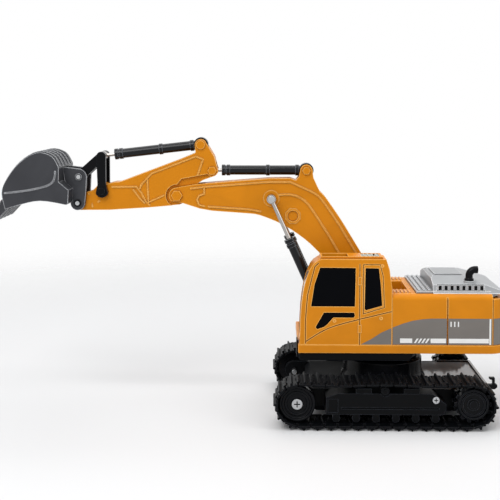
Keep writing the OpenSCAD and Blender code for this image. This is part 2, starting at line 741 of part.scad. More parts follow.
module engine_cover() {
    x1 = rear_x - 1;
    color(SILVER) difference() {
        union() {
            // Flat plate behind the deck, cut to the plan of the house
            translate([0, 0, deck_z - wall]) intersection() {
                linear_extrude(wall) polygon(house_plan(4.7));
                block([cover_x0 + 0.1, -house_y, -1], [x1, house_y, 5]);
            }
            translate([0, 0, deck_z]) intersection() {
                linear_extrude(1.4) polygon(house_plan(4.7));
                block([cover_x0 + 0.1, -house_y, -1], [weight_x + 2, house_y, 5]);
            }
            // Raised block with a sloping tail
            translate([0, 0, deck_z]) intersection() {
                translate([x1 - 1, 0, 0]) rotate([90, 0, -90])
                    linear_extrude(x1 - 1 - block_x0) polygon(hood_section());
                slab(-house_y, house_y) polygon([[block_x0, -1], [block_x0, block_h - 1],
                    [block_x0 + 1.5, block_h], [block_x0 + 22, block_h], [block_x0 + 28, block_h - 2.4],
                    [x1 - 1, 1.4], [x1 - 1, -1]]);
            }
            // Cross ridges in front of the block
            for (i = [0:2])
                block([cover_x0 + 1.4 + i * 3, -house_y + 6, deck_z + 1],
                    [cover_x0 + 2.6 + i * 3, house_y - 6, deck_z + 2.2]);
            // Pad of the exhaust pipe
            bar_z(exhaust, 3.4, deck_z + 2, exhaust_seat);
            // Crown panel
            block([block_x0 + 3, -11, deck_z + block_h - 0.5],
                [block_x0 + 20, 11, deck_z + block_h + 0.7]);
        }
        // Inside of the block
        translate([0, 0, deck_z - wall - 1]) block([block_x0 + 2, -22, 0], [block_x0 + 24, 22, 5]);
        // Grille windows
        for (side = [-1, 1])
            on_side(side) block([grille_x0, 24.2, deck_z + 1.4], [grille_x1, 30, deck_z + 5.2]);
        // Seat and socket of the exhaust pipe
        bar_z(exhaust, exhaust_r + 0.6 + pin_gap, exhaust_seat, deck_z + 20);
        bar_z(exhaust, 1.6 + pin_gap, deck_z + 2.8, exhaust_seat + 1);
    }
}

module engine_grilles() {
    step = (grille_x1 - grille_x0) / grille_slots;
    color(SILVER) for (side = [-1, 1]) on_side(side) difference() {
        block([grille_x0 + 0.1, 24.2, deck_z + 1.5], [grille_x1 - 0.1, 25.6, deck_z + 4.9]);
        for (i = [0:grille_slots - 1])
            block([grille_x0 + (i + 0.25) * step, 24.8, deck_z + 1.9],
                [grille_x0 + (i + 0.8) * step, 26, deck_z + 4.6]);
    }
}

module exhaust_pipe() {
    r = exhaust_r;
    bend_r = 3.6;
    top = deck_z + 10;
    color(BLACK) difference() {
        union() {
            bar_z(exhaust, 1.6, deck_z + 3, exhaust_seat + 1);
            bar_z(exhaust, r + 0.6, exhaust_seat, exhaust_seat + 1.4);
            bar_z(exhaust, r, exhaust_seat, top);
            translate([exhaust.x + bend_r, exhaust.y, top]) rotate([90, 0, 0]) rotate([0, 0, 90])
                rotate_extrude(angle = 90) translate([bend_r, 0]) circle(r);
            translate([exhaust.x + bend_r, exhaust.y, top + bend_r]) rotate([0, 90, 0])
                cylinder(r = r, h = 1.6);
        }
        translate([exhaust.x + bend_r - 1, exhaust.y, top + bend_r]) rotate([0, 90, 0])
            cylinder(r = r - 0.6, h = 5);
    }
}

// ---------------------------------------------------------------- cab
// Side outline: d is the inset of the inner surface
function cab_profile(d) = concat(
    [[cab_x1 - d, floor_z + d], [front_x + 0.7 + d, floor_z + d]],
    curve([[front_x + 0.7 + d, floor_z + d], [front_x + 1.6 + d, floor_z + 22],
        [front_x + 3.9 + d, floor_z + 37], [front_x + 8 + d * 0.8, roof_z - 4.2 - d * 0.4],
        [front_x + 12.5, roof_z - 0.4 - d]], 3),
    [[front_x + 14, roof_z - d], [cab_x1 - 3.6 - d * 0.6, roof_z - d], [cab_x1 - 1.6 - d, roof_z - 6],
     [cab_x1 - d, roof_z - 18]]);

// Window outlines, e is the extra size all round
module door_window(e = 0) {
    offset(delta = e) polygon([[front_x + 7.6, roof_z - 28.6], [front_x + 34, roof_z - 28.6],
        [front_x + 34.4, roof_z - 5.2], [front_x + 13, roof_z - 5], [front_x + 9.6, roof_z - 15.5]]);
}
module rear_window(e = 0) {
    offset(delta = e) polygon([[cab_x1 - 16.5, roof_z - 30], [cab_x1 - 15.6, roof_z - 30.8],
        [cab_x1 - 5.9, roof_z - 28], [cab_x1 - 6.8, roof_z - 16], [cab_x1 - 8, roof_z - 5.4],
        [cab_x1 - 16, roof_z - 5.2]]);
}
module low_window(e = 0) {
    offset(delta = e) polygon([[front_x + 15.4, roof_z - 32.2], [front_x + 33.4, roof_z - 32.2],
        [front_x + 34, roof_z - 33.8], [front_x + 33.4, roof_z - 35.3], [front_x + 21, roof_z - 35.3],
        [front_x + 17.4, roof_z - 39.5], [front_x + 15.6, roof_z - 41], [front_x + 11.4, roof_z - 42.4],
        [front_x + 10.3, roof_z - 41.2]]);
}

module cab_shell() {
    door_x = front_x + 36.8;
    color(ORANGE) difference() {
        union() {
            slab(cab_y0, cab_y1) polygon(cab_profile(0));
            // Raised panel round the roof openings
            slab(cab_y0 + 2.2, cab_y1 - 0.8) polygon([[front_x + 12.6, roof_z - 1],
                [front_x + 13.6, roof_top],
                [cab_x1 - 5.6, roof_top], [cab_x1 - 4.8, roof_z - 1]]);
            // Door hinges
            for (z = [roof_z - 13, roof_z - 42])
                block([door_x - 1, cab_y0 - 0.5, z - 2.4], [door_x + 1, cab_y0 + 0.5, z + 2.4]);
        }
        slab(cab_y0 + wall, cab_y1 - wall) polygon(cab_profile(wall));
        slab(cab_y0 - 1, cab_y0 + wall + 1) {
            door_window();
            rear_window();
            low_window();
        }
        slab(cab_y1 - wall - 1, cab_y1 + 1) {
            door_window();
            rear_window();
        }
        // Windscreen opening, with a rebate for the pane
        block([front_x - 2, cab_y0 + 2.2, floor_z + 5], [front_x + 8, cab_y1 - 2.2, roof_z - 8]);
        // Door seam and the seam below the rear window
        slab(cab_y0 - 0.1, cab_y0 + seam_d) {
            stroke([[front_x + 4.3, floor_z + 0.8], [front_x + 4.3, floor_z + 15],
                [front_x + 5.5, floor_z + 30],
                [front_x + 9.8, roof_z - 4.6], [front_x + 12, roof_z - 2.4]], 0.6);
            stroke([[door_x, floor_z - 0.5], [door_x, roof_z - 3]], 0.6);
            stroke(curve([[front_x + 4.3, floor_z + 1.8], [front_x + 18, floor_z + 10],
                [door_x, floor_z + 15.6]], 4), 0.6);
            stroke([[door_x, floor_z + 15.6], [cab_x1 + 0.5, floor_z + 20.5]], 0.6);
            stroke([[cab_x1 - 17.2, roof_z - 3.2], [cab_x1 - 17.2, roof_z - 33],
                [cab_x1 - 4.6, roof_z - 29],
                [cab_x1 - 5.5, roof_z - 10], [cab_x1 - 7.3, roof_z - 3.2],
                [cab_x1 - 17.2, roof_z - 3.2]], 0.5);
        }
        // Roof openings
        block([hatch_x0, hatch_y0, roof_z - 4], [hatch_x1, hatch_y1, roof_top + 1]);
        block([vent_x0, hatch_y0, roof_z - 4], [vent_x1, hatch_y1, roof_top + 1]);
    }
}

module cab_windows() {
    color(GLASS) {
        slab(cab_y0 + 0.4, cab_y0 + wall) {
            door_window(-0.08);
            rear_window(-0.08);
            low_window(-0.08);
        }
        slab(cab_y1 - wall, cab_y1 - 0.4) {
            door_window(-0.08);
            rear_window(-0.08);
        }
    }
}

module windscreen() {
    color([0.85, 0.9, 0.92]) intersection() {
        slab(cab_y0 + 2.3, cab_y1 - 2.3) difference() {
            polygon(cab_profile(0.3));
            polygon(cab_profile(1.4));
        }
        block([front_x - 2, cab_y0, floor_z + 5.1], [front_x + 8, cab_y1, roof_z - 8.1]);
    }
}

module roof_hatch() {
    color(DARK) difference() {
        block([hatch_x0 + 0.1, hatch_y0 + 0.1, roof_z - wall],
            [hatch_x1 - 0.1, hatch_y1 - 0.1, roof_z - 0.9]);
        block([hatch_x0 + 1.5, hatch_y0 + 1.5, roof_z - 1.2], [hatch_x1 - 1.5, hatch_y1 - 1.5, roof_z]);
    }
}

module roof_vent() {
    color(SILVER) {
        block([vent_x0 + 0.1, hatch_y0 + 0.1, roof_z - wall],
            [vent_x1 - 0.1, hatch_y1 - 0.1, roof_top - 0.3]);
        for (i = [0:3])
            block([vent_x0 + 1.2 + i * 2.5, hatch_y0 + 1.2, roof_top - 0.3],
                [vent_x0 + 2.3 + i * 2.5, hatch_y1 - 1.2, roof_top + 0.2]);
    }
}

// ---------------------------------------------------------------- inside the house
module circuit_board() {
    z = band_z + wall;
    color([0.1, 0.4, 0.2]) {
        for (x = [slew_x + 26, slew_x + 54], y = [-14, 14])
            bar_z([x, y], 1.6, z, z + 4);
        block([slew_x + 22, -18, z + 4], [slew_x + 58, 18, z + 5.6]);
        block([slew_x + 30, -10, z + 5.6], [slew_x + 38, 2, z + 8]);
        bar_z([slew_x + 48, 8], 3, z + 5.6, z + 13);
    }
}

module swing_motor() {
    z = band_z + wall;
    color(STEEL) {
        bar_z([cab_x1 + 6, -21], 4.6, z, z + 16);
        bar_z([cab_x1 + 6, -21], 1, z + 16, z + 18);
    }
}

// ---------------------------------------------------------------- boom
// Outline with each stretch placed from the nearest pivot
function boom_profile() = concat(
    arc(stick_pivot, 5, 225, 95, 7),
    from(stick_pivot, [[10.8, 6.9], [17.7, 7.6]]),
    from(arm_base, [[-23.6, -4.9]]),
    curve(concat(from(arm_base, [[-10, -4.7], [0.4, -8.7], [9.3, -13.7], [16.2, -22.6],
        [23.8, -33.9]]), from(foot, [[-8.1, 32.6]])), 3),
    arc(foot, foot_r, 30, -145, 12),
    from(boom_pin, [[29.8, -33.8]]),
    curve(from(boom_pin, [[29.8, -33.8], [21, -25.6], [7.7, -16.7], [-6.8, -10.7], [-14.4, -9.5]]), 3),
    from(stick_pivot, [[22.1, -9.5], [14.5, -8.2], [2.6, -4.4]]));

// Lug that carries the arm cylinder
function lug_profile() = concat(
    from(arm_base, [[-7, -6.5], [-4.6, -3.6]]), arc(arm_base, 3.8, 175, 15, 8),
    from(arm_base, [[4.4, -4.3], [6.7, -9.3], [9.5, -15], [0, -14]]));

module boom_ribs() {
    // Upper edge, sloping brace behind the lift pin, and the fork seam
    stroke(concat(from(stick_pivot, [[9, 4.4], [17.7, 5.5]]), from(arm_base, [[-23.6, -7]]),
        curve(from(arm_base, [[-10, -7], [-1, -11], [7.4, -15.6], [14, -24], [21.4, -35]]), 3),
        from(foot, [[-10.6, 31.5]])), 0.9);
    stroke(curve(from(boom_pin, [[4.9, 2.2], [12, 2.4], [18, 0.4], [23.5, -4.2], [31, -15.5],
        [37, -25], [44, -37]]), 2), 0.9);
    stroke(concat(from(stick_pivot, [[20, -6.9]]), from(boom_pin, [[-14.4, -6.9], [-6.8, -8.2]])), 0.9);
    stroke(from(stick_pivot, [[17.1, 4.9], [17.1, 1], [14, 0], [12.7, -2.6], [14, -5.8],
        [17.1, -6.7]]), 0.7);
}

module boom_half(side) {
    boss = boom_pin + [13.4, -11];
    color(ORANGE) difference() {
        union() {
            slab(0, side * boom_y) {
                polygon(boom_profile());
                polygon(lug_profile());
            }
            slab(side * boom_y, side * (boom_y + 0.6)) boom_ribs();
            bar(boom_pin, boom_boss_r, side * (boom_y - 1), side * (boom_y + 0.5));
            translate([boss.x, 0, boss.y]) rotate([0, 22.5, 0])
                bar([0, 0], boom_boss_r, side * (boom_y - 1), side * (boom_y + 0.5), $fn = 8);
        }
        // Fork for the stick's root
        slab(-side, side * (fork_y + slip)) polygon(from(stick_pivot, [[-20, -20], [6.6, -20], [6.6, 0.5],
            [17.5, 6], [17.5, 30], [-20, 30]]));
        // Slot between the lug's cheeks
        slab(-side, side * slot_y) polygon(from(arm_base, [[-20, -cap_r - slip],
            [cap_r + slip, -cap_r - slip],
            [cap_r + slip, 10], [-20, 10]]));
        bar(stick_pivot, bolt_r + pin_gap, -side, side * 20);
        bar(arm_base, pin_r + pin_gap, -side, side * 20);
        bar(boom_pin, pin_r + pin_gap, -side, side * 20);
        bar(foot, 3 + pin_gap, -side, side * 20);
        bar(boss, 3.4, side * (boom_y - 0.4), side * 20);
    }
}

module boom_pins() {
    color(STEEL) {
        bar(boom_pin, pin_r, -lift_y - 3, lift_y + 3);
        bar(arm_base, pin_r, -boom_y - 0.2, boom_y + 0.2);
        bar(stick_pivot, bolt_r, -boom_y, boom_y);
        for (side = [-1, 1]) {
            bar(boom_pin, 2.2, side * (lift_y + 3), side * (lift_y + 3.8));
            hex_bar(stick_pivot, 3.6, side * boom_y, side * (boom_y + 1.4));
            hex_bar(arm_base, 2.6, side * (boom_y + 0.2), side * (boom_y + 1.2));
        }
    }
}

// ---------------------------------------------------------------- stick
function stick_profile() = concat(
    arc(bucket_pivot, tip_r, 270, 110, 8),
    from(rocker_pivot, [[-6.2, 0.2]]),
    arc(rocker_pivot, 4.6, 150, 60, 5),
    from(rocker_pivot, [[7.3, 5.4], [10.5, 5.4]]),
    from(ear_pin, [[-32, -16.4], [-13, -9.1], [-3.2, -5]]),
    arc(ear_pin, 3.6, 185, 20, 8),
    from(ear_pin, [[8.5, -7.2]]),
    arc(arm_tip, 3.7, 35, -60, 5),
    from(arm_tip, [[-5.7, -6], [-8.8, -7.9]]),
    arc(stick_pivot, 6, 10, -75, 5),
    from(stick_pivot, [[-17.1, -7.5]]),
    from(bucket_pivot, [[19.3, -4.5]]));

module stick_ribs() {
    // Edge lines and cross braces
    stroke(from(bucket_pivot, [[6.5, 5.4], [8.8, -2.4]]), 0.8);
    stroke(concat(from(bucket_pivot, [[12.5, 0.6]]), from(rocker_pivot, [[6, 2.4], [21.3, 2.6]]),
        from(stick_pivot, [[-22.2, 1.7], [-19.6, -3.4], [-17.1, -5.9]])), 0.8);
    stroke(from(stick_pivot, [[-27.2, 3.6], [-23.4, -1.5], [-20.3, -4.6]]), 0.7);
    stroke(from(stick_pivot, [[-15.8, 13.7], [-22.2, 6.8], [-23.4, 3.6]]), 0.8);
    stroke(concat(from(stick_pivot, [[-15.8, 13.7]]), from(ear_pin, [[-2.9, -7.2], [1.5, -9.1]]),
        from(stick_pivot, [[12, 9.5]])), 0.8);
    stroke(from(stick_pivot, [[-18.4, 9.9], [-17.7, -4.6]]), 0.7);
    stroke(from(stick_pivot, [[-17.1, -4], [-7.5, 0.4]]), 0.7);
}

module stick_half(side) {
    color(ORANGE) difference() {
        union() {
            slab(0, side * stick_y) polygon(stick_profile());
            slab(side * stick_y, side * (stick_y + 0.5)) difference() {
                stick_ribs();
                // Kept clear of the boom's fork and of the rocker and bucket ears
                translate(stick_pivot) circle(8);
                translate(rocker_pivot) circle(6.5);
                translate(bucket_pivot) circle(8.5);
            }
        }
        // Root narrowed to enter the boom's fork
        slab(side * fork_y, side * 20) polygon(concat(
            arc(stick_pivot, 7, 270, 90, 10),
            from(stick_pivot, [[3, 10.5], [19, 13.5], [30, 5], [30, -20], [0, -20]])));
        // Forks for the eyes of the bucket cylinder and the arm cylinder
        slab(-side, side * slot_y) {
            polygon(from(ear_pin, [[-20, -cap_r - slip], [cap_r + slip, -cap_r - slip],
                [cap_r + slip, 10], [-20, 10]]));
            polygon(from(arm_tip, [[-4.2, -4.2], [-4.2, 4.2], [20, 9], [20, -9], [-4.2, -9]]));
        }
        bar(ear_pin, pin_r + pin_gap, -side, side * 20);
        bar(arm_tip, pin_r + pin_gap, -side, side * 20);
        bar(stick_pivot, bolt_r + pin_gap, -side, side * 20);
        bar(rocker_pivot, pin_r + pin_gap, -side, side * 20);
        bar(bucket_pivot, pin_r + pin_gap, -side, side * 20);
    }
}

module stick_pins() {
    outer = ear_y + ear_t;
    color(STEEL) {
        bar(ear_pin, pin_r, -stick_y, stick_y);
        bar(arm_tip, pin_r, -stick_y, stick_y);
        for (p = [rocker_pivot, bucket_pivot]) {
            bar(p, pin_r, -outer - 0.2, outer + 0.2);
            for (side = [-1, 1])
                bar(p, 2.2, side * (outer + 0.2), side * (outer + 1));
        }
        for (side = [-1, 1]) {
            bar(ear_pin, 2.8, side * stick_y, side * (stick_y + 0.8));
            hex_bar(arm_tip, 2.8, side * stick_y, side * (stick_y + 1));
        }
    }
}

// ---------------------------------------------------------------- bucket
// Closed side outline, clockwise from the front lip over the back to the rear edge
function bucket_back() = concat(
    curve(from(bucket_pivot, [[-42, -2.6], [-44, 7.4], [-41, 15.8], [-32.9, 26], [-22.4, 32.1],
        [-13.2, 30], [-8.9, 23.2]]), 4),
    from(bucket_pivot, [[-9, 14.2], [-3, 9.3], [-3.4, 1]]));
function bucket_side() = concat(bucket_back(),
    curve(from(bucket_pivot, [[-4.4, 0.2], [-20.6, 2.6], [-34.8, -0.3], [-42, -2.6]]), 4));

module bucket_ear(side) {
    slab(side * ear_y, side * (ear_y + ear_t)) difference() {
        polygon(concat(
            from(bucket_pivot, [[-9.3, 22.1], [-7.4, 22.4]]),
            arc(link_pin, 5, 80, -10, 6),
            from(bucket_pivot, [[5.2, 7.4]]),
            arc(bucket_pivot, 4.5, 0, -180, 10),
            from(bucket_pivot, [[-3.6, 8], [-8, 14.3]])));
        translate(link_pin) circle(pin_r + pin_gap);
        translate(bucket_pivot) circle(pin_r + pin_gap);
    }
}

module bucket() {
    inner = bucket_y - 1.75;
    color(DARK) difference() {
        union() {
            // Back shell, open below
            slab(-inner, inner) difference() {
                polygon(bucket_side());
                offset(delta = -bucket_t) polygon(concat(bucket_back(),
                    from(bucket_pivot, [[-3.4, -20], [-42, -20]])));
            }
            for (side = [-1, 1])
                slab(side * inner, side * bucket_y) polygon(bucket_side());
            // Ribs over the back
            for (i = [-2:2])
                slab(i * inner / 2.35 - 1.3, i * inner / 2.35 + 1.3) difference() {
                    offset(delta = 0.7) polygon(curve(from(bucket_pivot, [[-44, 7.4], [-41, 15.8],
                        [-32.9, 26], [-22.4, 32.1], [-13.2, 30], [-9.6, 24]]), 4));
                    translate(bucket_pivot + [-60, -20]) square([80, 27]);
                    polygon(bucket_side());
                }
            for (side = [-1, 1]) {
                bucket_ear(side);
                // Raised crease on each cheek
                slab(side * bucket_y, side * (bucket_y + 0.4)) stroke(curve(from(bucket_pivot,
                    [[-42, 7.4], [-28.6, 9], [-16.3, 11.8], [-11.8, 15.5], [-11, 20.6]]), 3), 0.8);
            }
        }
        for (y = tooth_places())
            translate([0, y, 0]) tooth();
        // Room for the rounded tip of the stick
        bar(bucket_pivot, tip_r + slip, -ear_y, ear_y);
    }
}

function tooth_places() = [for (i = [0:tooth_count - 1])
    (i - (tooth_count - 1) / 2) * (bucket_w - 9.5) / (tooth_count - 1)];

module tooth() {
    slab(-2.2, 2.2) polygon(from(bucket_pivot, [[-41.4, -3], [-41.6, 1.2], [-43.8, 4],
        [-45.6, 2.4], [-49.3, -10], [-48.2, -10.2]]));
}

module bucket_teeth() {
    color(DARK) for (y = tooth_places())
        translate([0, y, 0]) tooth();
}

module bucket_pins() {
    outer = ear_y + ear_t;
    color(STEEL) {
        bar(link_pin, pin_r, -outer, outer);
        for (side = [-1, 1])
            bar(link_pin, 2.2, side * outer, side * (outer + 0.8));
    }
}

// ---------------------------------------------------------------- rocker and link
module rocker() {
    tilt = angle(rocker_pivot, rocker_pin);
    n = [cos(tilt + 90), sin(tilt + 90)];
    color(BLACK) {
        for (side = [-1, 1]) difference() {
            slab(side * ear_y, side * (ear_y + ear_t)) polygon(concat(
                arc(rocker_pivot, 4.1, tilt + 110, tilt + 250, 10),
                [rocker_pivot - n * 2.6 + 4 * [cos(tilt), sin(tilt)]],
                arc(rocker_pin, 2.9, tilt - 90, tilt + 90, 8),
                [rocker_pivot + n * 2.6 + 4 * [cos(tilt), sin(tilt)]]));
            bar(rocker_pivot, pin_r + pin_gap, side * (ear_y - 1), side * 20);
        }
        bar(rocker_pin, pin_r, -ear_y, ear_y);
    }
}

// H-shaped link between the rocker's pin and the bucket's ears
module link() {
    tilt = angle(link_pin, rocker_pin);
    n = [cos(tilt + 90), sin(tilt + 90)];
    along = [cos(tilt), sin(tilt)];
    y1 = ear_y - slip;
    color(BLACK) difference() {
        union() {
            for (side = [-1, 1])
                slab(side * link_y0, side * y1) polygon(concat(
                    arc(link_pin, 3.1, tilt + 90, tilt + 270, 10),
                    arc(rocker_pin, 2.8, tilt - 90, tilt + 90, 10)));
            slab(-y1, y1) polygon([link_pin + 7 * along - 1.6 * n, link_pin + 11.5 * along - 1.6 * n,
                link_pin + 11.5 * along + 1.6 * n, link_pin + 7 * along + 1.6 * n]);
        }
        bar(rocker_pin, pin_r + pin_gap, -20, 20);
        bar(link_pin, pin_r + link_play, -20, 20);
    }
}

// ---------------------------------------------------------------- cylinders
// Local frame: base pin at the origin, the rod leaves towards +X
module toward(p, q, y) {
    translate([p.x, y, p.y]) rotate([0, -angle(p, q), 0]) children();
}

// Barrel with a closed base, an eye at the base pin, clamp rings and an open gland
module barrel(r, l, rings, eye_r, eye_half) {
    bore = r - barrel_wall;
    difference() {
        union() {
            translate([eye_r - 0.6, 0, 0]) rotate([0, 90, 0]) cylinder(r = r, h = l - eye_r + 0.6);
            bar([0, 0], eye_r, -eye_half, eye_half);
            for (x = rings)
                translate([x, 0, 0]) rotate([0, 90, 0]) cylinder(r = r + ring_h, h = 2.2);
        }
        translate([eye_r + 1.6, 0, 0]) rotate([0, 90, 0]) cylinder(r = bore, h = l);
        bar([0, 0], pin_r + pin_gap, -10, 10);
    }
}

// Rod with its eye at the origin, lying along -X
module rod(r, l, eye_r, eye_half) {
    difference() {
        union() {
            translate([-l, 0, 0]) rotate([0, 90, 0]) cylinder(r = r, h = l - 1);
            bar([0, 0], eye_r, -eye_half, eye_half);
        }
        bar([0, 0], pin_r + pin_gap, -10, 10);
    }
}

module boom_barrels() {
    color(DARK) for (side = [-1, 1])
        toward(lift_base, boom_pin, side * lift_y)
            barrel(boom_barrel_r, lift_barrel_l,
                [lift_barrel_l - 2.2, lift_barrel_l - 5.4, lift_barrel_l * 0.45], 3.2, lift_eye_y);
}

module boom_rods() {
    color(STEEL) for (side = [-1, 1])
        toward(lift_base, boom_pin, side * lift_y)
            translate([lift_l, 0, 0]) rod(boom_rod_r, 27 + 18, 2.8, lift_eye_y);
}

module arm_barrel() {
    color(DARK) toward(arm_base, arm_tip, 0)
        barrel(arm_barrel_r, arm_barrel_l,
            [arm_barrel_l - 2.2, arm_barrel_l - 5.2, arm_l * 0.39, cap_r], cap_r, eye_y);
}

module arm_rod() {
    color(STEEL) toward(arm_base, arm_tip, 0)
        translate([arm_l, 0, 0]) rod(arm_rod_r, arm_l - 12, 2.8, eye_y);
}

module bucket_barrel() {
    color(DARK) toward(ear_pin, rocker_pin, 0)
        barrel(arm_barrel_r, tip_barrel_l,
            [tip_barrel_l - 2.2, tip_barrel_l - 5.2, tip_l * 0.39, cap_r], cap_r, eye_y);
}

module bucket_rod() {
    color(STEEL) toward(ear_pin, rocker_pin, 0)
        translate([tip_l, 0, 0]) rod(arm_rod_r, tip_l - 12, 2.7, eye_y);
}

chassis();
battery_cover();
battery_pack();
track_frame(-1);  // track_frame_left
track_frame(1);  // track_frame_right
axle_bar(-1);  // axle_bar_left
axle_bar(1);  // axle_bar_right
track(-1);  // track_left
track(1);  // track_right
drive_gearboxes();
drive_motors();
wheel_axles();
carrier_rollers();
tow_hook();
slew_column();
frame_screws();
power_switch();
sprocket(-1);  // sprocket_left
sprocket(1);  // sprocket_right
idler(-1);  // idler_left
idler(1);  // idler_right
base_plate();
slew_spigot();
platform();
side_panel(-1);  // side_panel_left
side_panel(1);  // side_panel_right
counterweight();
front_deck();
boom_well();
tool_box();
boom_bracket();
bracket_pins();
engine_cover();
engine_grilles();
exhaust_pipe();
cab_shell();
cab_windows();
windscreen();
roof_hatch();
roof_vent();
circuit_board();
swing_motor();
boom_half(-1);  // boom_left
boom_half(1);  // boom_right
boom_pins();
stick_half(-1);  // stick_left
stick_half(1);  // stick_right
stick_pins();
bucket();
bucket_teeth();
bucket_pins();
rocker();
link();
boom_barrels();
boom_rods();
arm_barrel();
arm_rod();
bucket_barrel();
bucket_rod();
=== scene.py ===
"""Toy excavator: the finish of its moulded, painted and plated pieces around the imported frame.

One unit is a metre, +Z is up, the bucket reaches towards -X and the cab is on the -Y side.
"""

import json
import math

import bmesh
import bpy
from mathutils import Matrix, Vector
from mathutils.bvhtree import BVHTree


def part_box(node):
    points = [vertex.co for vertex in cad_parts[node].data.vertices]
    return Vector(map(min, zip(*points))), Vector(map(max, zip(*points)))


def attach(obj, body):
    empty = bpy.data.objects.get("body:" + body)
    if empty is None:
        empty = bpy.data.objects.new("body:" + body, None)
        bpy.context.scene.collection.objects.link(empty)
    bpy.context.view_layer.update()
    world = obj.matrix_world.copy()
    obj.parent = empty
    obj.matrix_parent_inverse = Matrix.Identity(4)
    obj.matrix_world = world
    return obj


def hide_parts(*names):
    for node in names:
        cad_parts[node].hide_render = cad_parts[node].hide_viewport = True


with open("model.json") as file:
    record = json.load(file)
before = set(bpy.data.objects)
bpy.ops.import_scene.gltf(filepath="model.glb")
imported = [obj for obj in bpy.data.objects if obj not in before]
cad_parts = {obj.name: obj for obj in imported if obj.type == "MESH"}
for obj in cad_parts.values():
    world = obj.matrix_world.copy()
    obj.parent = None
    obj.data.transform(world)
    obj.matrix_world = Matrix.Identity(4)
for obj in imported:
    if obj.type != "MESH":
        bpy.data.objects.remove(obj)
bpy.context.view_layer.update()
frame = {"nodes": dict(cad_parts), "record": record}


# ---- Chassis and slew column -------------------------------------------------------------
# The lower box carries the battery, the gearboxes and the column that the house turns on.
# It is moulded in black ABS, its edges broken by a small radius where the mould's halves
# meet. The upper face of its rear end is glossier and painted paler, a painted reflection, and
# the battery cover is screwed on below.

BODY_OF = {
    node: body
    for body, nodes in frame["record"]["behaviour"]["bodies"].items()
    for node in nodes
}
MM = 0.001


def colour(red, green, blue):
    """A paint or plastic colour given in 8-bit sRGB steps."""
    steps = [c / 255 for c in (red, green, blue)]
    return [c / 12.92 if c <= 0.04045 else ((c + 0.055) / 1.055) ** 2.4 for c in steps] + [1]


def new_group(name, inputs, outputs):
    """An empty shader group with named inputs (name, default) and outputs (name, kind)."""
    group = bpy.data.node_groups.new(name, "ShaderNodeTree")
    for label, value in inputs:
        socket = group.interface.new_socket(label, in_out="INPUT", socket_type="NodeSocketFloat")
        socket.default_value = value
    for label, kind in outputs:
        group.interface.new_socket(label, in_out="OUTPUT", socket_type=kind)
    return group, group.nodes.new("NodeGroupInput"), group.nodes.new("NodeGroupOutput")


def wear_and_highlight_edges():
    """Masks of edges paled by wear and painted highlight, and of grooves given painted shade."""
    group, given, result = new_group(
        "wear and highlight edges",
        [("Width", 0.0004), ("Gain", 6.0), ("Patch Scale", 300.0), ("Seam Depth", 0.0012)],
        [("Rubbed", "NodeSocketFloat"), ("Sunk", "NodeSocketFloat")],
    )
    nodes, links = group.nodes, group.links
    # Outer edges, found by the bevelled normal, pale partly as wear and partly as painted
    # highlight.
    soft = nodes.new("ShaderNodeBevel")
    soft.samples = 6
    true = nodes.new("ShaderNodeNewGeometry")
    same = nodes.new("ShaderNodeVectorMath")
    same.operation = "DOT_PRODUCT"
    away = nodes.new("ShaderNodeMath")
    away.operation = "SUBTRACT"
    away.inputs[0].default_value = 1
    gain = nodes.new("ShaderNodeMath")
    gain.operation = "MULTIPLY"
    patches = nodes.new("ShaderNodeTexNoise")
    patches.inputs["Detail"].default_value = 3
    place = nodes.new("ShaderNodeTexCoord")
    broken = nodes.new("ShaderNodeMapRange")
    broken.inputs["From Min"].default_value = 0.3
    broken.inputs["From Max"].default_value = 0.6
    broken.inputs["To Min"].default_value = 0.45
    patched = nodes.new("ShaderNodeMath")
    patched.operation = "MULTIPLY"
    # Occlusion finds grooves and inner corners, which darken as painted shade.
    hollow = nodes.new("ShaderNodeAmbientOcclusion")
    hollow.samples = 8
    sunk = nodes.new("ShaderNodeMapRange")
    sunk.inputs["From Min"].default_value = 0.4
    sunk.inputs["From Max"].default_value = 0.8
    sunk.inputs["To Min"].default_value = 1
    sunk.inputs["To Max"].default_value = 0
    open_air = nodes.new("ShaderNodeMath")
    open_air.operation = "SUBTRACT"
    open_air.inputs[0].default_value = 1
    wear_and_highlight_mask = nodes.new("ShaderNodeMath")
    wear_and_highlight_mask.operation = "MULTIPLY"
    wear_and_highlight_mask.use_clamp = True
    links.new(given.outputs["Width"], soft.inputs["Radius"])
    links.new(soft.outputs["Normal"], same.inputs[0])
    links.new(true.outputs["Normal"], same.inputs[1])
    links.new(same.outputs["Value"], away.inputs[1])
    links.new(away.outputs[0], gain.inputs[0])
    links.new(given.outputs["Gain"], gain.inputs[1])
    links.new(place.outputs["Object"], patches.inputs["Vector"])
    links.new(given.outputs["Patch Scale"], patches.inputs["Scale"])
    links.new(patches.outputs["Fac"], broken.inputs["Value"])
    links.new(gain.outputs[0], patched.inputs[0])
    links.new(broken.outputs["Result"], patched.inputs[1])
    links.new(given.outputs["Seam Depth"], hollow.inputs["Distance"])
    links.new(hollow.outputs["AO"], sunk.inputs["Value"])
    links.new(sunk.outputs["Result"], open_air.inputs[1])
    links.new(patched.outputs[0], wear_and_highlight_mask.inputs[0])
    links.new(open_air.outputs[0], wear_and_highlight_mask.inputs[1])
    links.new(wear_and_highlight_mask.outputs[0], result.inputs["Rubbed"])
    links.new(sunk.outputs["Result"], result.inputs["Sunk"])
    return group


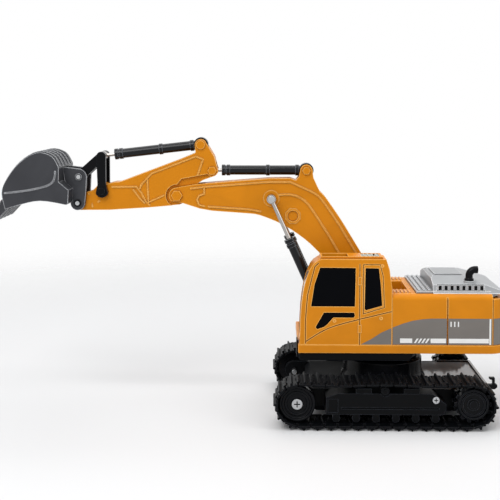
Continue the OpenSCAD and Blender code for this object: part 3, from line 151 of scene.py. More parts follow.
def mould_skin():
    """Fine texture of a moulded face, with the slow flow waves of the melt under it."""
    group, given, result = new_group(
        "mould skin",
        [("Grain Scale", 2600.0), ("Flow Scale", 55.0), ("Flow Share", 0.5)],
        [("Tone", "NodeSocketFloat"), ("Height", "NodeSocketFloat")],
    )
    nodes, links = group.nodes, group.links
    place = nodes.new("ShaderNodeTexCoord")
    grain = nodes.new("ShaderNodeTexNoise")
    grain.inputs["Detail"].default_value = 4
    flow = nodes.new("ShaderNodeTexNoise")
    flow.inputs["Detail"].default_value = 2
    flow.inputs["Distortion"].default_value = 0.6
    both = nodes.new("ShaderNodeMix")
    both.data_type = "FLOAT"
    for noise, label in ((grain, "Grain Scale"), (flow, "Flow Scale")):
        links.new(place.outputs["Object"], noise.inputs["Vector"])
        links.new(given.outputs[label], noise.inputs["Scale"])
    links.new(given.outputs["Flow Share"], both.inputs["Factor"])
    links.new(grain.outputs["Fac"], both.inputs["A"])
    links.new(flow.outputs["Fac"], both.inputs["B"])
    links.new(flow.outputs["Fac"], result.inputs["Tone"])
    links.new(both.outputs["Result"], result.inputs["Height"])
    return group


WEAR_AND_HIGHLIGHT_EDGES = wear_and_highlight_edges()
MOULD_SKIN = mould_skin()


def finish_of(name, face, wear_and_highlight_colour, gloss=0.35, metal=0.0, edge=0.0004, gain=6.0, grain=2600.0,
              relief=0.00002, drift=0.08, specular=0.5, seam=0.5):
    """A solid-coloured finish: face is its colour, and its edges pale towards the second colour,
    partly as wear and partly as a painted highlight.

    seam is the share by which its grooves and inner corners darken, as painted shade."""
    material = bpy.data.materials.new(name)
    material.use_nodes = True
    nodes, links = material.node_tree.nodes, material.node_tree.links
    shader = nodes["Principled BSDF"]
    shader.inputs["Metallic"].default_value = metal
    shader.inputs["Coat Roughness"].default_value = 0.12
    shader.inputs["Specular IOR Level"].default_value = specular
    edges = nodes.new("ShaderNodeGroup")
    edges.node_tree = WEAR_AND_HIGHLIGHT_EDGES
    edges.inputs["Width"].default_value = edge
    edges.inputs["Gain"].default_value = gain
    skin = nodes.new("ShaderNodeGroup")
    skin.node_tree = MOULD_SKIN
    skin.inputs["Grain Scale"].default_value = grain
    shade = nodes.new("ShaderNodeMapRange")
    shade.inputs["From Min"].default_value = 0.3
    shade.inputs["From Max"].default_value = 0.7
    shade.inputs["To Min"].default_value = 1 - drift
    shade.inputs["To Max"].default_value = 1 + drift
    tinted = nodes.new("ShaderNodeMix")
    tinted.data_type = "RGBA"
    tinted.blend_type = "MULTIPLY"
    tinted.inputs["Factor"].default_value = 1
    tinted.inputs["A"].default_value = face
    # Edges pale towards the second colour: wear and painted highlight.
    paled = nodes.new("ShaderNodeMix")
    paled.data_type = "RGBA"
    paled.inputs["B"].default_value = wear_and_highlight_colour
    # Grooves and inner corners darken by the seam share: painted shade.
    shadowed = nodes.new("ShaderNodeMix")
    shadowed.data_type = "RGBA"
    shadowed.blend_type = "MULTIPLY"
    shadowed.inputs["B"].default_value = [c * (1 - seam) for c in face[:3]] + [1]
    rough = nodes.new("ShaderNodeMapRange")
    rough.inputs["From Min"].default_value = 0.3
    rough.inputs["From Max"].default_value = 0.7
    rough.inputs["To Min"].default_value = gloss - 0.04
    rough.inputs["To Max"].default_value = gloss + 0.06
    bump = nodes.new("ShaderNodeBump")
    bump.inputs["Strength"].default_value = 0.35
    bump.inputs["Distance"].default_value = relief
    links.new(skin.outputs["Tone"], shade.inputs["Value"])
    links.new(shade.outputs["Result"], tinted.inputs["B"])
    links.new(tinted.outputs["Result"], paled.inputs["A"])
    links.new(edges.outputs["Rubbed"], paled.inputs["Factor"])
    links.new(paled.outputs["Result"], shadowed.inputs["A"])
    links.new(edges.outputs["Sunk"], shadowed.inputs["Factor"])
    links.new(shadowed.outputs["Result"], shader.inputs["Base Color"])
    links.new(skin.outputs["Tone"], rough.inputs["Value"])
    links.new(rough.outputs["Result"], shader.inputs["Roughness"])
    links.new(skin.outputs["Height"], bump.inputs["Height"])
    links.new(bump.outputs["Normal"], shader.inputs["Normal"])
    return material


def whole_mesh(node):
    """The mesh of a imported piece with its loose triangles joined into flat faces."""
    work = bmesh.new()
    work.from_mesh(frame["nodes"][node].data)
    bmesh.ops.remove_doubles(work, verts=work.verts, dist=2e-6)
    bmesh.ops.dissolve_limit(
        work, angle_limit=math.radians(0.8), verts=work.verts, edges=work.edges)
    mesh = bpy.data.meshes.new(node)
    work.to_mesh(mesh)
    work.free()
    return mesh


EDGE_ANGLE = math.radians(32)


def break_edges(piece, radius, steps=2):
    """Gives a moulded piece its small edge radius and smooth curved faces."""
    mesh = piece.data
    mesh.shade_smooth()
    mesh.set_sharp_from_angle(angle=EDGE_ANGLE)
    rounding = piece.modifiers.new("edge radius", "BEVEL")
    rounding.width = radius
    rounding.segments = steps
    rounding.limit_method = "ANGLE"
    rounding.angle_limit = EDGE_ANGLE
    rounding.miter_outer = "MITER_SHARP"
    rounding.use_clamp_overlap = True
    rounding.harden_normals = True
    even = piece.modifiers.new("flat faces", "WEIGHTED_NORMAL")
    even.keep_sharp = True


def moulded(node, finish, radius=0.3 * MM, steps=2):
    """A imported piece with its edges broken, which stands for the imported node."""
    piece = bpy.data.objects.new(node + "_moulding", whole_mesh(node))
    bpy.context.scene.collection.objects.link(piece)
    piece.data.materials.append(finish)
    break_edges(piece, radius, steps)
    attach(piece, BODY_OF[node])
    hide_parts(node)
    return piece


# Edges pale to grey, partly as wear and partly as painted highlight; grooves darken as painted
# shade.
black_abs = finish_of("black ABS", colour(8, 9, 12), colour(66, 69, 76), gloss=0.22, gain=7,
                      specular=0.1, seam=0.8)


def painted_reflection_towards_rear(finish, start, end, pale):
    """Gives the upper faces, from start to end along X, a painted pale reflection and more gloss.
    """
    nodes, links = finish.node_tree.nodes, finish.node_tree.links
    shader = nodes["Principled BSDF"]
    place = nodes.new("ShaderNodeTexCoord")
    along, facing = nodes.new("ShaderNodeSeparateXYZ"), nodes.new("ShaderNodeSeparateXYZ")
    rear = nodes.new("ShaderNodeMapRange")
    rear.interpolation_type = "SMOOTHSTEP"
    rear.inputs["From Min"].default_value = start
    rear.inputs["From Max"].default_value = end
    upper = nodes.new("ShaderNodeMapRange")
    upper.inputs["From Min"].default_value = 0.6
    upper.inputs["From Max"].default_value = 0.9
    both = nodes.new("ShaderNodeMath")
    both.operation = "MULTIPLY"
    tint = nodes.new("ShaderNodeMix")
    tint.data_type = "RGBA"
    tint.inputs["B"].default_value = pale
    links.new(place.outputs["Object"], along.inputs["Vector"])
    links.new(place.outputs["Normal"], facing.inputs["Vector"])
    links.new(along.outputs["X"], rear.inputs["Value"])
    links.new(facing.outputs["Z"], upper.inputs["Value"])
    links.new(rear.outputs["Result"], both.inputs[0])
    links.new(upper.outputs["Result"], both.inputs[1])
    links.new(both.outputs["Value"], shader.inputs["Coat Weight"])
    links.new(both.outputs["Value"], tint.inputs["Factor"])
    links.new(shader.inputs["Base Color"].links[0].from_socket, tint.inputs["A"])
    links.new(tint.outputs["Result"], shader.inputs["Base Color"])


deck_black = finish_of("black ABS with painted rear reflection", colour(10, 11, 14), colour(64, 67, 73), gloss=0.6,
                       gain=6, relief=0.000006, specular=0.1)
# The rear deck's upper faces get a painted pale reflection and a real coat of gloss.
column_low, column_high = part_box("slew_column")
painted_reflection_towards_rear(deck_black, (column_low.x + 3 * column_high.x) / 4, column_high.x,
                   colour(128, 130, 133))
moulded("chassis", deck_black)
for node in ("slew_column", "slew_spigot", "battery_cover", "tow_hook"):
    moulded(node, black_abs)


# ---- Battery, gearboxes, motors and switch -----------------------------------------------
# What the chassis box hides: three cells in a shrink sleeve, two silver-grey gearboxes and
# the two steel-cased motors that drive the sprockets. A slide switch sits in its underside.

def coat_node(node, finish):
    """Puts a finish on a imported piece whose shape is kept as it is."""
    frame["nodes"][node].data.materials.clear()
    frame["nodes"][node].data.materials.append(finish)


sleeve_blue = finish_of("shrink sleeve", colour(60, 96, 160), colour(110, 140, 190), gloss=0.25)
grey_casing = finish_of("grey casing", colour(176, 178, 180), colour(212, 213, 214), gloss=0.4)
bright_steel = finish_of("bright steel", colour(178, 180, 182), colour(224, 225, 226), gloss=0.24,
                         metal=1.0, grain=5200, relief=0.00001, drift=0.05)
# Edges pale to grey, partly as wear and partly as painted highlight; grooves darken as painted
# shade.
black_satin = finish_of("black satin ABS", colour(7, 8, 10), colour(68, 72, 80), gloss=0.4,
                        gain=8, relief=0.00004, specular=0.08, seam=0.8)

coat_node("battery_pack", sleeve_blue)
coat_node("drive_gearboxes", grey_casing)
coat_node("drive_motors", bright_steel)
moulded("power_switch", black_satin, radius=0.2 * MM)


# ---- Track frames ------------------------------------------------------------------------
# Each side frame is one black moulding: a beam with sloping ends, road rollers moulded to
# its underside. It is screwed on over a flat bar that carries the axles of both wheels.

for node in ("track_frame_left", "track_frame_right", "axle_bar_left", "axle_bar_right",
             "carrier_rollers"):
    moulded(node, black_satin, radius=0.35 * MM)


# ---- Tracks ------------------------------------------------------------------------------
# A track is a chain of identical soft black links that snap together: the hook of one link
# closes over the bar of the next. A lug inside each link runs in the wheels' groove.

def prism(work, outline, low, high, across="y"):
    """Adds an outline made solid: [x, z] points across Y, or [x, y] points along Z."""
    turned = sum(
        (b[0] - a[0]) * (b[1] + a[1]) for a, b in zip(outline, outline[1:] + outline[:1]))
    points = outline if turned > 0 else outline[::-1]
    near, far = ([
        work.verts.new((p[0], level, p[1]) if across == "y" else (p[0], p[1], level))
        for p in points
    ] for level in (low, high))
    if across == "z":
        near, far = far, near
    faces = [work.faces.new(near[::-1]), work.faces.new(far)]
    for i in range(len(points)):
        j = (i + 1) % len(points)
        faces.append(work.faces.new((near[i], near[j], far[j], far[i])))
    bmesh.ops.recalc_face_normals(work, faces=faces)


def disc(radius, sides):
    """Outline of a round piece about the origin."""
    return [(radius * math.cos(math.tau * i / sides), radius * math.sin(math.tau * i / sides))
            for i in range(sides)]


def round_bar(work, x, z, radius, low, high, sides=12):
    """Adds a round bar across Y at x, z."""
    ring = [(x + ring_x, z + ring_z) for ring_x, ring_z in disc(radius, sides)]
    prism(work, ring, low, high)


def mesh_object(name, work, finish):
    """Turns a work mesh into an object of the scene with one finish."""
    mesh = bpy.data.meshes.new(name)
    work.to_mesh(mesh)
    work.free()
    mesh.materials.append(finish)
    piece = bpy.data.objects.new(name, mesh)
    bpy.context.scene.collection.objects.link(piece)
    return piece


def plain(piece):
    """The object with its modifiers applied to its mesh."""
    bpy.context.view_layer.update()
    finished = bpy.data.meshes.new_from_object(
        piece.evaluated_get(bpy.context.evaluated_depsgraph_get()))
    piece.modifiers.clear()
    piece.data = finished
    return piece


# Link edges pale to grey glints, partly as wear and partly as painted highlight.
track_rubber = finish_of("track PP", colour(6, 7, 9), colour(44, 46, 52), gloss=0.44, gain=6,
                         grain=1800, relief=0.00005, drift=0.2, specular=0.08)

LINKS_IN_TRACK = 36
SHOE_THICKNESS = 1.2 * MM
BAR_HEIGHT = 1.6 * MM
UPPER_SAG = 0.7 * MM

idler_low, idler_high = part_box("idler_left")
sprocket_low, sprocket_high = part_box("sprocket_left")
idler_x = (idler_low.x + idler_high.x) / 2
sprocket_x = (sprocket_low.x + sprocket_high.x) / 2
axle_z = (idler_low.z + idler_high.z) / 2
hinge_radius = axle_z - SHOE_THICKNESS / 2 - BAR_HEIGHT
wheel_base = sprocket_x - idler_x
link_pitch = (2 * wheel_base + math.tau * hinge_radius) / LINKS_IN_TRACK


def hinge_point(run):
    """Point of the hinge line, run metres along it from the bottom of the idler."""
    half_turn = math.pi * hinge_radius
    if run < wheel_base:
        return idler_x + run, axle_z - hinge_radius
    run -= wheel_base
    if run < half_turn:
        a = run / hinge_radius - math.pi / 2
        return sprocket_x + hinge_radius * math.cos(a), axle_z + hinge_radius * math.sin(a)
    run -= half_turn
    if run < wheel_base:
        sag = UPPER_SAG * math.sin(math.tau * run / wheel_base) ** 2
        return sprocket_x - run, axle_z + hinge_radius - sag
    a = (run - wheel_base) / hinge_radius + math.pi / 2
    return idler_x + hinge_radius * math.cos(a), axle_z + hinge_radius * math.sin(a)


def track_link():
    """One link about its middle: the bar at -X, the hook at +X, the ground side at -Z."""
    work = bmesh.new()
    half = link_pitch / 2 / MM
    thick = SHOE_THICKNESS / 2 / MM
    bar = thick + BAR_HEIGHT / MM
    edge, cheek, cheek_end, gap, hook = 11.0, 7.7, 7.5, 2.7, 2.5
    end, notch, eye, hinge = 0.5, 1.35, 1.2, 0.6
    left, right = end - half, half - end
    prism(work, [
        (left, -edge), (right, -edge), (right, -cheek), (half - notch, -cheek),
        (half - notch, -hook), (right, -hook), (right, hook), (half - notch, hook),
        (half - notch, cheek), (right, cheek), (right, edge), (left, edge), (left, gap),
        (notch - half, gap), (notch - half, -gap), (left, -gap)], -thick, thick, across="z")
    prism(work, [(-0.9, -thick + 0.1), (0.9, -thick + 0.1), (0.45, -bar), (-0.45, -bar)],
          -edge, edge)
    prism(work, [(-1.5, thick - 0.1), (1.5, thick - 0.1), (0.8, thick + 2), (-0.8, thick + 2)],
          -1.5, 1.5)
    for side in (-1, 1):
        low, high = sorted((side * gap, side * cheek_end))
        round_bar(work, -half, 0, eye, low, high)
    round_bar(work, half, 0, eye, -hook, hook)
    round_bar(work, -half, 0, hinge, -3, 3, sides=8)
    stud = disc(0.55, 6)
    for x in (-2.3, 2.3):
        for y in (-9.3, 9.3):
            prism(work, [(x + stud_x, y + stud_y) for stud_x, stud_y in stud],
                  -thick - 0.35, -thick + 0.1, across="z")
    bmesh.ops.scale(work, verts=work.verts, vec=(MM, MM, MM))
    return mesh_object("link_pattern", work, track_rubber)


def laid_track():
    """Node tree that lays a link along every edge of a closed hinge line."""
    tree = bpy.data.node_groups.new("laid track", "GeometryNodeTree")
    sockets = tree.interface
    sockets.new_socket("Hinge Line", in_out="INPUT", socket_type="NodeSocketGeometry")
    sockets.new_socket("Link", in_out="INPUT", socket_type="NodeSocketObject")
    sockets.new_socket("Pitch", in_out="INPUT", socket_type="NodeSocketFloat")
    sockets.new_socket("Finish", in_out="INPUT", socket_type="NodeSocketMaterial")
    sockets.new_socket("Track", in_out="OUTPUT", socket_type="NodeSocketGeometry")
    nodes, links = tree.nodes, tree.links
    given, result = nodes.new("NodeGroupInput"), nodes.new("NodeGroupOutput")
    ends = nodes.new("GeometryNodeInputMeshEdgeVertices")
    along = nodes.new("ShaderNodeVectorMath")
    along.operation = "SUBTRACT"
    kept = nodes.new("GeometryNodeCaptureAttribute")
    kept.domain = "EDGE"
    kept.capture_items.new("VECTOR", "Along")
    middles = nodes.new("GeometryNodeMeshToPoints")
    middles.mode = "EDGES"
    length = nodes.new("ShaderNodeVectorMath")
    length.operation = "LENGTH"
    stretch = nodes.new("ShaderNodeMath")
    stretch.operation = "DIVIDE"
    scale = nodes.new("ShaderNodeCombineXYZ")
    scale.inputs["Y"].default_value = 1
    scale.inputs["Z"].default_value = 1
    upright = nodes.new("FunctionNodeAxesToRotation")
    upright.primary_axis = "X"
    upright.secondary_axis = "Y"
    across = nodes.new("ShaderNodeCombineXYZ")
    across.inputs["Y"].default_value = 1
    pattern = nodes.new("GeometryNodeObjectInfo")
    laid = nodes.new("GeometryNodeInstanceOnPoints")
    real = nodes.new("GeometryNodeRealizeInstances")
    dressed = nodes.new("GeometryNodeSetMaterial")
    links.new(ends.outputs["Position 2"], along.inputs[0])
    links.new(ends.outputs["Position 1"], along.inputs[1])
    links.new(given.outputs["Hinge Line"], kept.inputs["Geometry"])
    links.new(along.outputs["Vector"], kept.inputs["Along"])
    links.new(kept.outputs["Geometry"], middles.inputs["Mesh"])
    links.new(kept.outputs["Along"], length.inputs[0])
    links.new(length.outputs["Value"], stretch.inputs[0])
    links.new(given.outputs["Pitch"], stretch.inputs[1])
    links.new(stretch.outputs[0], scale.inputs["X"])
    links.new(kept.outputs["Along"], upright.inputs["Primary Axis"])
    links.new(across.outputs["Vector"], upright.inputs["Secondary Axis"])
    links.new(given.outputs["Link"], pattern.inputs["Object"])
    links.new(middles.outputs["Points"], laid.inputs["Points"])
    links.new(pattern.outputs["Geometry"], laid.inputs["Instance"])
    links.new(upright.outputs["Rotation"], laid.inputs["Rotation"])
    links.new(scale.outputs["Vector"], laid.inputs["Scale"])
    links.new(laid.outputs["Instances"], real.inputs["Geometry"])
    links.new(real.outputs["Geometry"], dressed.inputs["Geometry"])
    links.new(given.outputs["Finish"], dressed.inputs["Material"])
    links.new(dressed.outputs["Geometry"], result.inputs["Track"])
    return tree


def set_inputs(modifier, **values):
    """Sets a node modifier's inputs by their names in the tree, underscores for spaces."""
    for item in modifier.node_group.interface.items_tree:
        name = item.name.replace(" ", "_")
        if item.item_type == "SOCKET" and item.in_out == "INPUT" and name in values:
            modifier[item.identifier] = values[name]


link_pattern = track_link()
break_edges(link_pattern, 0.18 * MM, steps=1)
plain(link_pattern)
TRACK_TREE = laid_track()
for name in ("track_left", "track_right"):
    low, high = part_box(name)
    hinges = [hinge_point(i * link_pitch) for i in range(LINKS_IN_TRACK)]
    line = bpy.data.meshes.new(name + "_line")
    line.from_pydata(
        [(x, (low.y + high.y) / 2, z) for x, z in hinges],
        [(i, (i + 1) % LINKS_IN_TRACK) for i in range(LINKS_IN_TRACK)], [])
    track = bpy.data.objects.new(name + "_links", line)
    bpy.context.scene.collection.objects.link(track)
    laying = track.modifiers.new("laid track", "NODES")
    laying.node_group = TRACK_TREE
    set_inputs(laying, Link=link_pattern, Pitch=link_pitch, Finish=track_rubber)
    plain(track)
    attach(track, BODY_OF[name])
    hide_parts(name)
bpy.data.objects.remove(link_pattern)


# ---- Screws of the undercarriage ---------------------------------------------------------
# Small plated steel screws with a cross slot hold the cover of the battery bay. Each is
# the same pressed head, set on the face that it holds down.

# Its edges pale, partly as wear and partly as painted highlight, and its grooves darken strongly
# as painted shade.
plated = finish_of("plated steel", colour(176, 178, 180), colour(232, 233, 234), gloss=0.3,
                   metal=1.0, grain=4200, relief=0.00001, drift=0.04, seam=0.9)


def screw_head(radius, height):
    """A low head made of four quarters on a rim, with the cross slot between them."""
    work = bmesh.new()
    prism(work, disc(radius, 14), -0.1, height * 0.4, across="z")
    slot_half = radius * 0.12
    raised = radius * 0.85
    corner = [(slot_half, slot_half)] + [
        (raised * math.cos(a), raised * math.sin(a)) for a in (0.16, 0.47, 0.79, 1.1, 1.41)
    ]
    for quarter in range(4):
        turn = quarter * math.pi / 2
        prism(work, [
            (x * math.cos(turn) - y * math.sin(turn), x * math.sin(turn) + y * math.cos(turn))
            for x, y in corner
        ], 0, height, across="z")
    bmesh.ops.scale(work, verts=work.verts, vec=(MM, MM, MM))
    return mesh_object("screw_pattern", work, plated)


def set_fixings():
    """Node tree that sets a fixing on every point, its head turned to one side."""
    tree = bpy.data.node_groups.new("set fixings", "GeometryNodeTree")
    sockets = tree.interface
    sockets.new_socket("Places", in_out="INPUT", socket_type="NodeSocketGeometry")
    sockets.new_socket("Fixing", in_out="INPUT", socket_type="NodeSocketObject")
    sockets.new_socket("Facing", in_out="INPUT", socket_type="NodeSocketVector")
    sockets.new_socket("Turn Seed", in_out="INPUT", socket_type="NodeSocketInt")
    sockets.new_socket("Finish", in_out="INPUT", socket_type="NodeSocketMaterial")
    sockets.new_socket("Fixings", in_out="OUTPUT", socket_type="NodeSocketGeometry")
    nodes, links = tree.nodes, tree.links
    given, result = nodes.new("NodeGroupInput"), nodes.new("NodeGroupOutput")
    pattern = nodes.new("GeometryNodeObjectInfo")
    upright = nodes.new("FunctionNodeAlignRotationToVector")
    upright.axis = "Z"
    turn = nodes.new("FunctionNodeRandomValue")
    turn.data_type = "INT"
    spin = nodes.new("ShaderNodeCombineXYZ")
    turned = nodes.new("FunctionNodeRotateRotation")
    turned.rotation_space = "LOCAL"
    spread = nodes.new("GeometryNodeInstanceOnPoints")
    real = nodes.new("GeometryNodeRealizeInstances")
    dressed = nodes.new("GeometryNodeSetMaterial")
    links.new(given.outputs["Places"], spread.inputs["Points"])
    links.new(given.outputs["Fixing"], pattern.inputs["Object"])
    links.new(pattern.outputs["Geometry"], spread.inputs["Instance"])
    links.new(given.outputs["Facing"], upright.inputs["Vector"])
    links.new(given.outputs["Turn Seed"], turn.inputs["Seed"])
    links.new(upright.outputs["Rotation"], turned.inputs["Rotation"])
    links.new(next(o for o in turn.outputs if o.enabled), spin.inputs["Z"])
    links.new(spin.outputs["Vector"], turned.inputs["Rotate By"])
    links.new(turned.outputs["Rotation"], spread.inputs["Rotation"])
    links.new(spread.outputs["Instances"], real.inputs["Geometry"])
    links.new(real.outputs["Geometry"], dressed.inputs["Geometry"])
    links.new(given.outputs["Finish"], dressed.inputs["Material"])
    links.new(dressed.outputs["Geometry"], result.inputs["Fixings"])
    return tree


FIXING_TREE = set_fixings()


def fixings(name, node, starts, facing, pattern, finish, seed=1):
    """Sets a fixing where lines from the starts, in mm, first meet the outside of a piece."""
    mesh = frame["nodes"][node].data
    skin = BVHTree.FromPolygons(
        [v.co for v in mesh.vertices], [tuple(p.vertices) for p in mesh.polygons])
    places = [skin.ray_cast(Vector(start) * MM, -Vector(facing))[0] for start in starts]
    if None in places:
        raise ValueError(f"{name}: a fixing doesn't meet {node}")
    points = bpy.data.meshes.new(name)
    points.from_pydata(places, [], [])
    group = bpy.data.objects.new(name, points)
    bpy.context.scene.collection.objects.link(group)
    setting = group.modifiers.new("set fixings", "NODES")
    setting.node_group = FIXING_TREE
    set_inputs(setting, Fixing=pattern, Facing=facing, Turn_Seed=seed, Finish=finish)
    plain(group)
    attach(group, BODY_OF[node])


screw = screw_head(1.3, 0.4)
cover_low, cover_high = [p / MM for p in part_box("battery_cover")]
fixings("battery_cover_screws", "battery_cover",
        [(x, y, -20) for x in (cover_low.x + 4, cover_high.x - 4)
         for y in (cover_low.y + 4, cover_high.y - 4)],
        (0, 0, -1), screw, plated, seed=3)


# ---- Wheels and their axles --------------------------------------------------------------
# Idlers in front and toothed sprockets behind turn on steel axles inside the tracks. They
# are dished black mouldings, and a plated cross-head screw holds each idler.

def second_finish(piece, finish, belongs):
    """Gives another finish to the faces of a piece whose middle passes the test."""
    piece.data.materials.append(finish)
    for face in piece.data.polygons:
        if belongs(face.center):
            face.material_index = len(piece.data.materials) - 1


for node in ("idler_left", "idler_right", "sprocket_left", "sprocket_right"):
    moulded(node, black_abs, radius=0.3 * MM)
axles = moulded("wheel_axles", plated, radius=0.15 * MM)
second_finish(axles, black_abs, lambda at: at.x > (idler_x + sprocket_x) / 2)
# The cross recesses of the plated screws get a near-black finish: painted shade.
recess_shade_black = finish_of("screw recess painted shade", colour(12, 12, 13), colour(40, 40, 42), specular=0.1)


def painted_recess_shade(piece, node, x, z, reach):
    """Paints shade into the cross recess, 0.5 mm deep, of the screw heads on both sides at x, z.
    """
    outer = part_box(node)[1].y
    second_finish(piece, recess_shade_black,
                  lambda at: (math.hypot(at.x - x, at.z - z) < reach
                              and 0.1 * MM < outer - abs(at.y) < 0.6 * MM))


painted_recess_shade(axles, "wheel_axles", idler_x, axle_z, 2 * MM)
beam_screws = moulded("frame_screws", plated, radius=0.15 * MM)
beam_low, beam_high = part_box("frame_screws")
painted_recess_shade(beam_screws, "frame_screws", (beam_low.x + beam_high.x) / 2,
            (beam_low.z + beam_high.z) / 2, 1.4 * MM)


# ---- Turning platform --------------------------------------------------------------------
# A black base plate turns on the column, and the orange floor band is screwed down on it.
# The orange is a solid-coloured ABS with a soft gloss.

# Its edges pale to light yellow, partly as wear and partly as painted highlight, and its grooves
# darken as painted shade.
orange_abs = finish_of("orange ABS", colour(210, 130, 20), colour(255, 200, 112), gloss=0.32,
                       edge=0.0007, gain=14, drift=0.06, specular=0.13, seam=0.65)
moulded("base_plate", black_satin, radius=0.35 * MM)
moulded("platform", orange_abs, radius=0.5 * MM)


# ---- House panels, deck and tool box -----------------------------------------------------
# Thin orange mouldings clip together round the platform: two side panels with a rolled top
# edge, the rear counterweight, the deck with its step treads and the U-shaped boom recess.
# A dark bracket in the recess carries the boom's foot on plated pins.

for node in ("side_panel_left", "side_panel_right", "counterweight"):
    moulded(node, orange_abs, radius=0.35 * MM)
for node in ("front_deck", "boom_well", "tool_box"):
    moulded(node, orange_abs, radius=0.25 * MM)
fixings("counterweight_screws", "counterweight", [(200, y, 66) for y in (-14, 14)],
        (1, 0, 0), screw, plated, seed=5)
dark_abs = finish_of("dark grey ABS", colour(66, 67, 70), colour(128, 130, 134), gloss=0.38)
moulded("boom_bracket", dark_abs, radius=0.3 * MM)
moulded("bracket_pins", plated, radius=0.15 * MM)


# ---- Printed stripes on the house --------------------------------------------------------
# A grey band with a curved upper edge is tampo-printed round the lower part of the house,
# from the rear of the cab over the rear corners, with white lines on it. The ink is thin.

ink_grey = finish_of("grey ink", colour(112, 107, 102), colour(120, 115, 110), gloss=0.4,
                     gain=1, drift=0.05)
ink_white = finish_of("white ink", colour(236, 236, 234), colour(240, 240, 238), gloss=0.45,
                      gain=1, drift=0.03)

panel_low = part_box("side_panel_left")[0]
HOUSE_SIDE = -panel_low.y / MM
CAB_SIDE = HOUSE_SIDE + 0.4
CAB_REAR = panel_low.x / MM
HOUSE_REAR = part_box("counterweight")[1].x / MM
CORNER = 10.4
BAND_TOP = [(67.9, 46.5), (74, 49.8), (80.1, 53.8), (86.2, 56.5), (92.3, 58.9), (98.4, 60.8),
            (104.5, 61.8), (110.6, 62.2)]


def band_height(x):
    """Upper edge of the grey band at a place along the house."""
    for (x0, z0), (x1, z1) in zip(BAND_TOP, BAND_TOP[1:]):
        if x < x1:
            return z0 + (z1 - z0) * (x - x0) / (x1 - x0)
    return BAND_TOP[-1][1]


def house_edge(run):
    """Point and outward direction on the house's plan, run mm behind X = 0 on the left side."""
    straight = HOUSE_REAR - CORNER
    corner = CORNER * math.pi / 2
    rear = 2 * (HOUSE_SIDE - CORNER)
    if run <= straight:
        return (run, -CAB_SIDE if run < CAB_REAR else -HOUSE_SIDE), (0, -1)
    run -= straight
    if run <= corner:
        a = run / CORNER - math.pi / 2
        centre = (straight, CORNER - HOUSE_SIDE)
    elif run <= corner + rear:
        return (HOUSE_REAR, CORNER - HOUSE_SIDE + run - corner), (1, 0)
    elif run <= 2 * corner + rear:
        a = (run - corner - rear) / CORNER
        centre = (straight, HOUSE_SIDE - CORNER)
    else:
        return (straight - (run - 2 * corner - rear), HOUSE_SIDE), (0, 1)
    out = (math.cos(a), math.sin(a))
    return (centre[0] + CORNER * out[0], centre[1] + CORNER * out[1]), out


WHOLE_RUN = 2 * (HOUSE_REAR - CORNER) + math.pi * CORNER + 2 * (HOUSE_SIDE - CORNER)


def printed(name, spans, ink, lift, lean=0):
    """A print on the house from spans of (start, end, lower edge, upper edge) along its run.

    lean is how far the print's upper edge stands forward of its lower one."""
    work = bmesh.new()
    for start, end, lower, upper in spans:
        count = max(1, round((end - start) / 1.5))
        rows = []
        for i in range(count + 1):
            run = start + (end - start) * i / count
            place = min(run, WHOLE_RUN - run)
            row = []
            for z, forward in ((lower(place), 0), (upper(place), lean)):
                (x, y), (out_x, out_y) = house_edge(run + forward)
                row.append(work.verts.new(
                    ((x + lift * out_x) * MM, (y + lift * out_y) * MM, z * MM)))
            rows.append(row)
        for (a, b), (c, d) in zip(rows, rows[1:]):
            work.faces.new((a, c, d, b))
    bmesh.ops.recalc_face_normals(work, faces=work.faces)
    piece = mesh_object(name, work, ink)
    film = piece.modifiers.new("ink film", "SOLIDIFY")
    film.thickness = 0.05 * MM
    film.offset = 1
    plain(piece)
    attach(piece, "house")


BAND_FOOT = 46.4
SEAMS = (86.25, 119.5, 146.6)
SEAM_HALF = 0.45
cuts = [BAND_TOP[0][0]]
for seam in SEAMS:
    cuts += [seam - SEAM_HALF, seam + SEAM_HALF]
pairs = list(zip(cuts[0::2], cuts[1::2]))
pairs.append((cuts[-1], WHOLE_RUN - cuts[-1]))
pairs += [(WHOLE_RUN - end, WHOLE_RUN - start) for start, end in pairs[:3]]
printed("stripe_band", [(a, b, lambda x: BAND_FOOT, band_height) for a, b in pairs],
        ink_grey, 0.02)


def mirrored(spans):
    """The spans, and the same ones on the right side of the house."""
    return spans + [(WHOLE_RUN - end, WHOLE_RUN - start, low, high)
                    for start, end, low, high in spans]


LINE_FOOT, LINE_TOP = 47.4, 50.1
lines = [(start, end, lambda x: LINE_FOOT, lambda x: LINE_TOP)
         for start, end in ((91.1, 98.4), (109.4, 118.6), (120.4, 144.2))]
lines.append((144.5, 145.5, lambda x: 46.5, lambda x: 62.1))
lines += [(at, at + 0.7, lambda x: 57.3, lambda x: 60.4) for at in (121.2, 123.4, 125.6)]
printed("stripe_lines", mirrored(lines), ink_white, 0.08)
slashes = [(99.4 + 2.2 * i, 100.6 + 2.2 * i, lambda x: LINE_FOOT, lambda x: LINE_TOP)
           for i in range(4)]
printed("stripe_slashes_left", slashes, ink_white, 0.08, lean=1.7)
printed("stripe_slashes_right", mirrored(slashes)[len(slashes):], ink_white, 0.08,
        lean=-1.7)


# ---- Engine cover ------------------------------------------------------------------------
# The cover over the rear half is sprayed silver over ABS: ridges in front, a raised block
# with a crown panel, and a louvred grille let into each side.

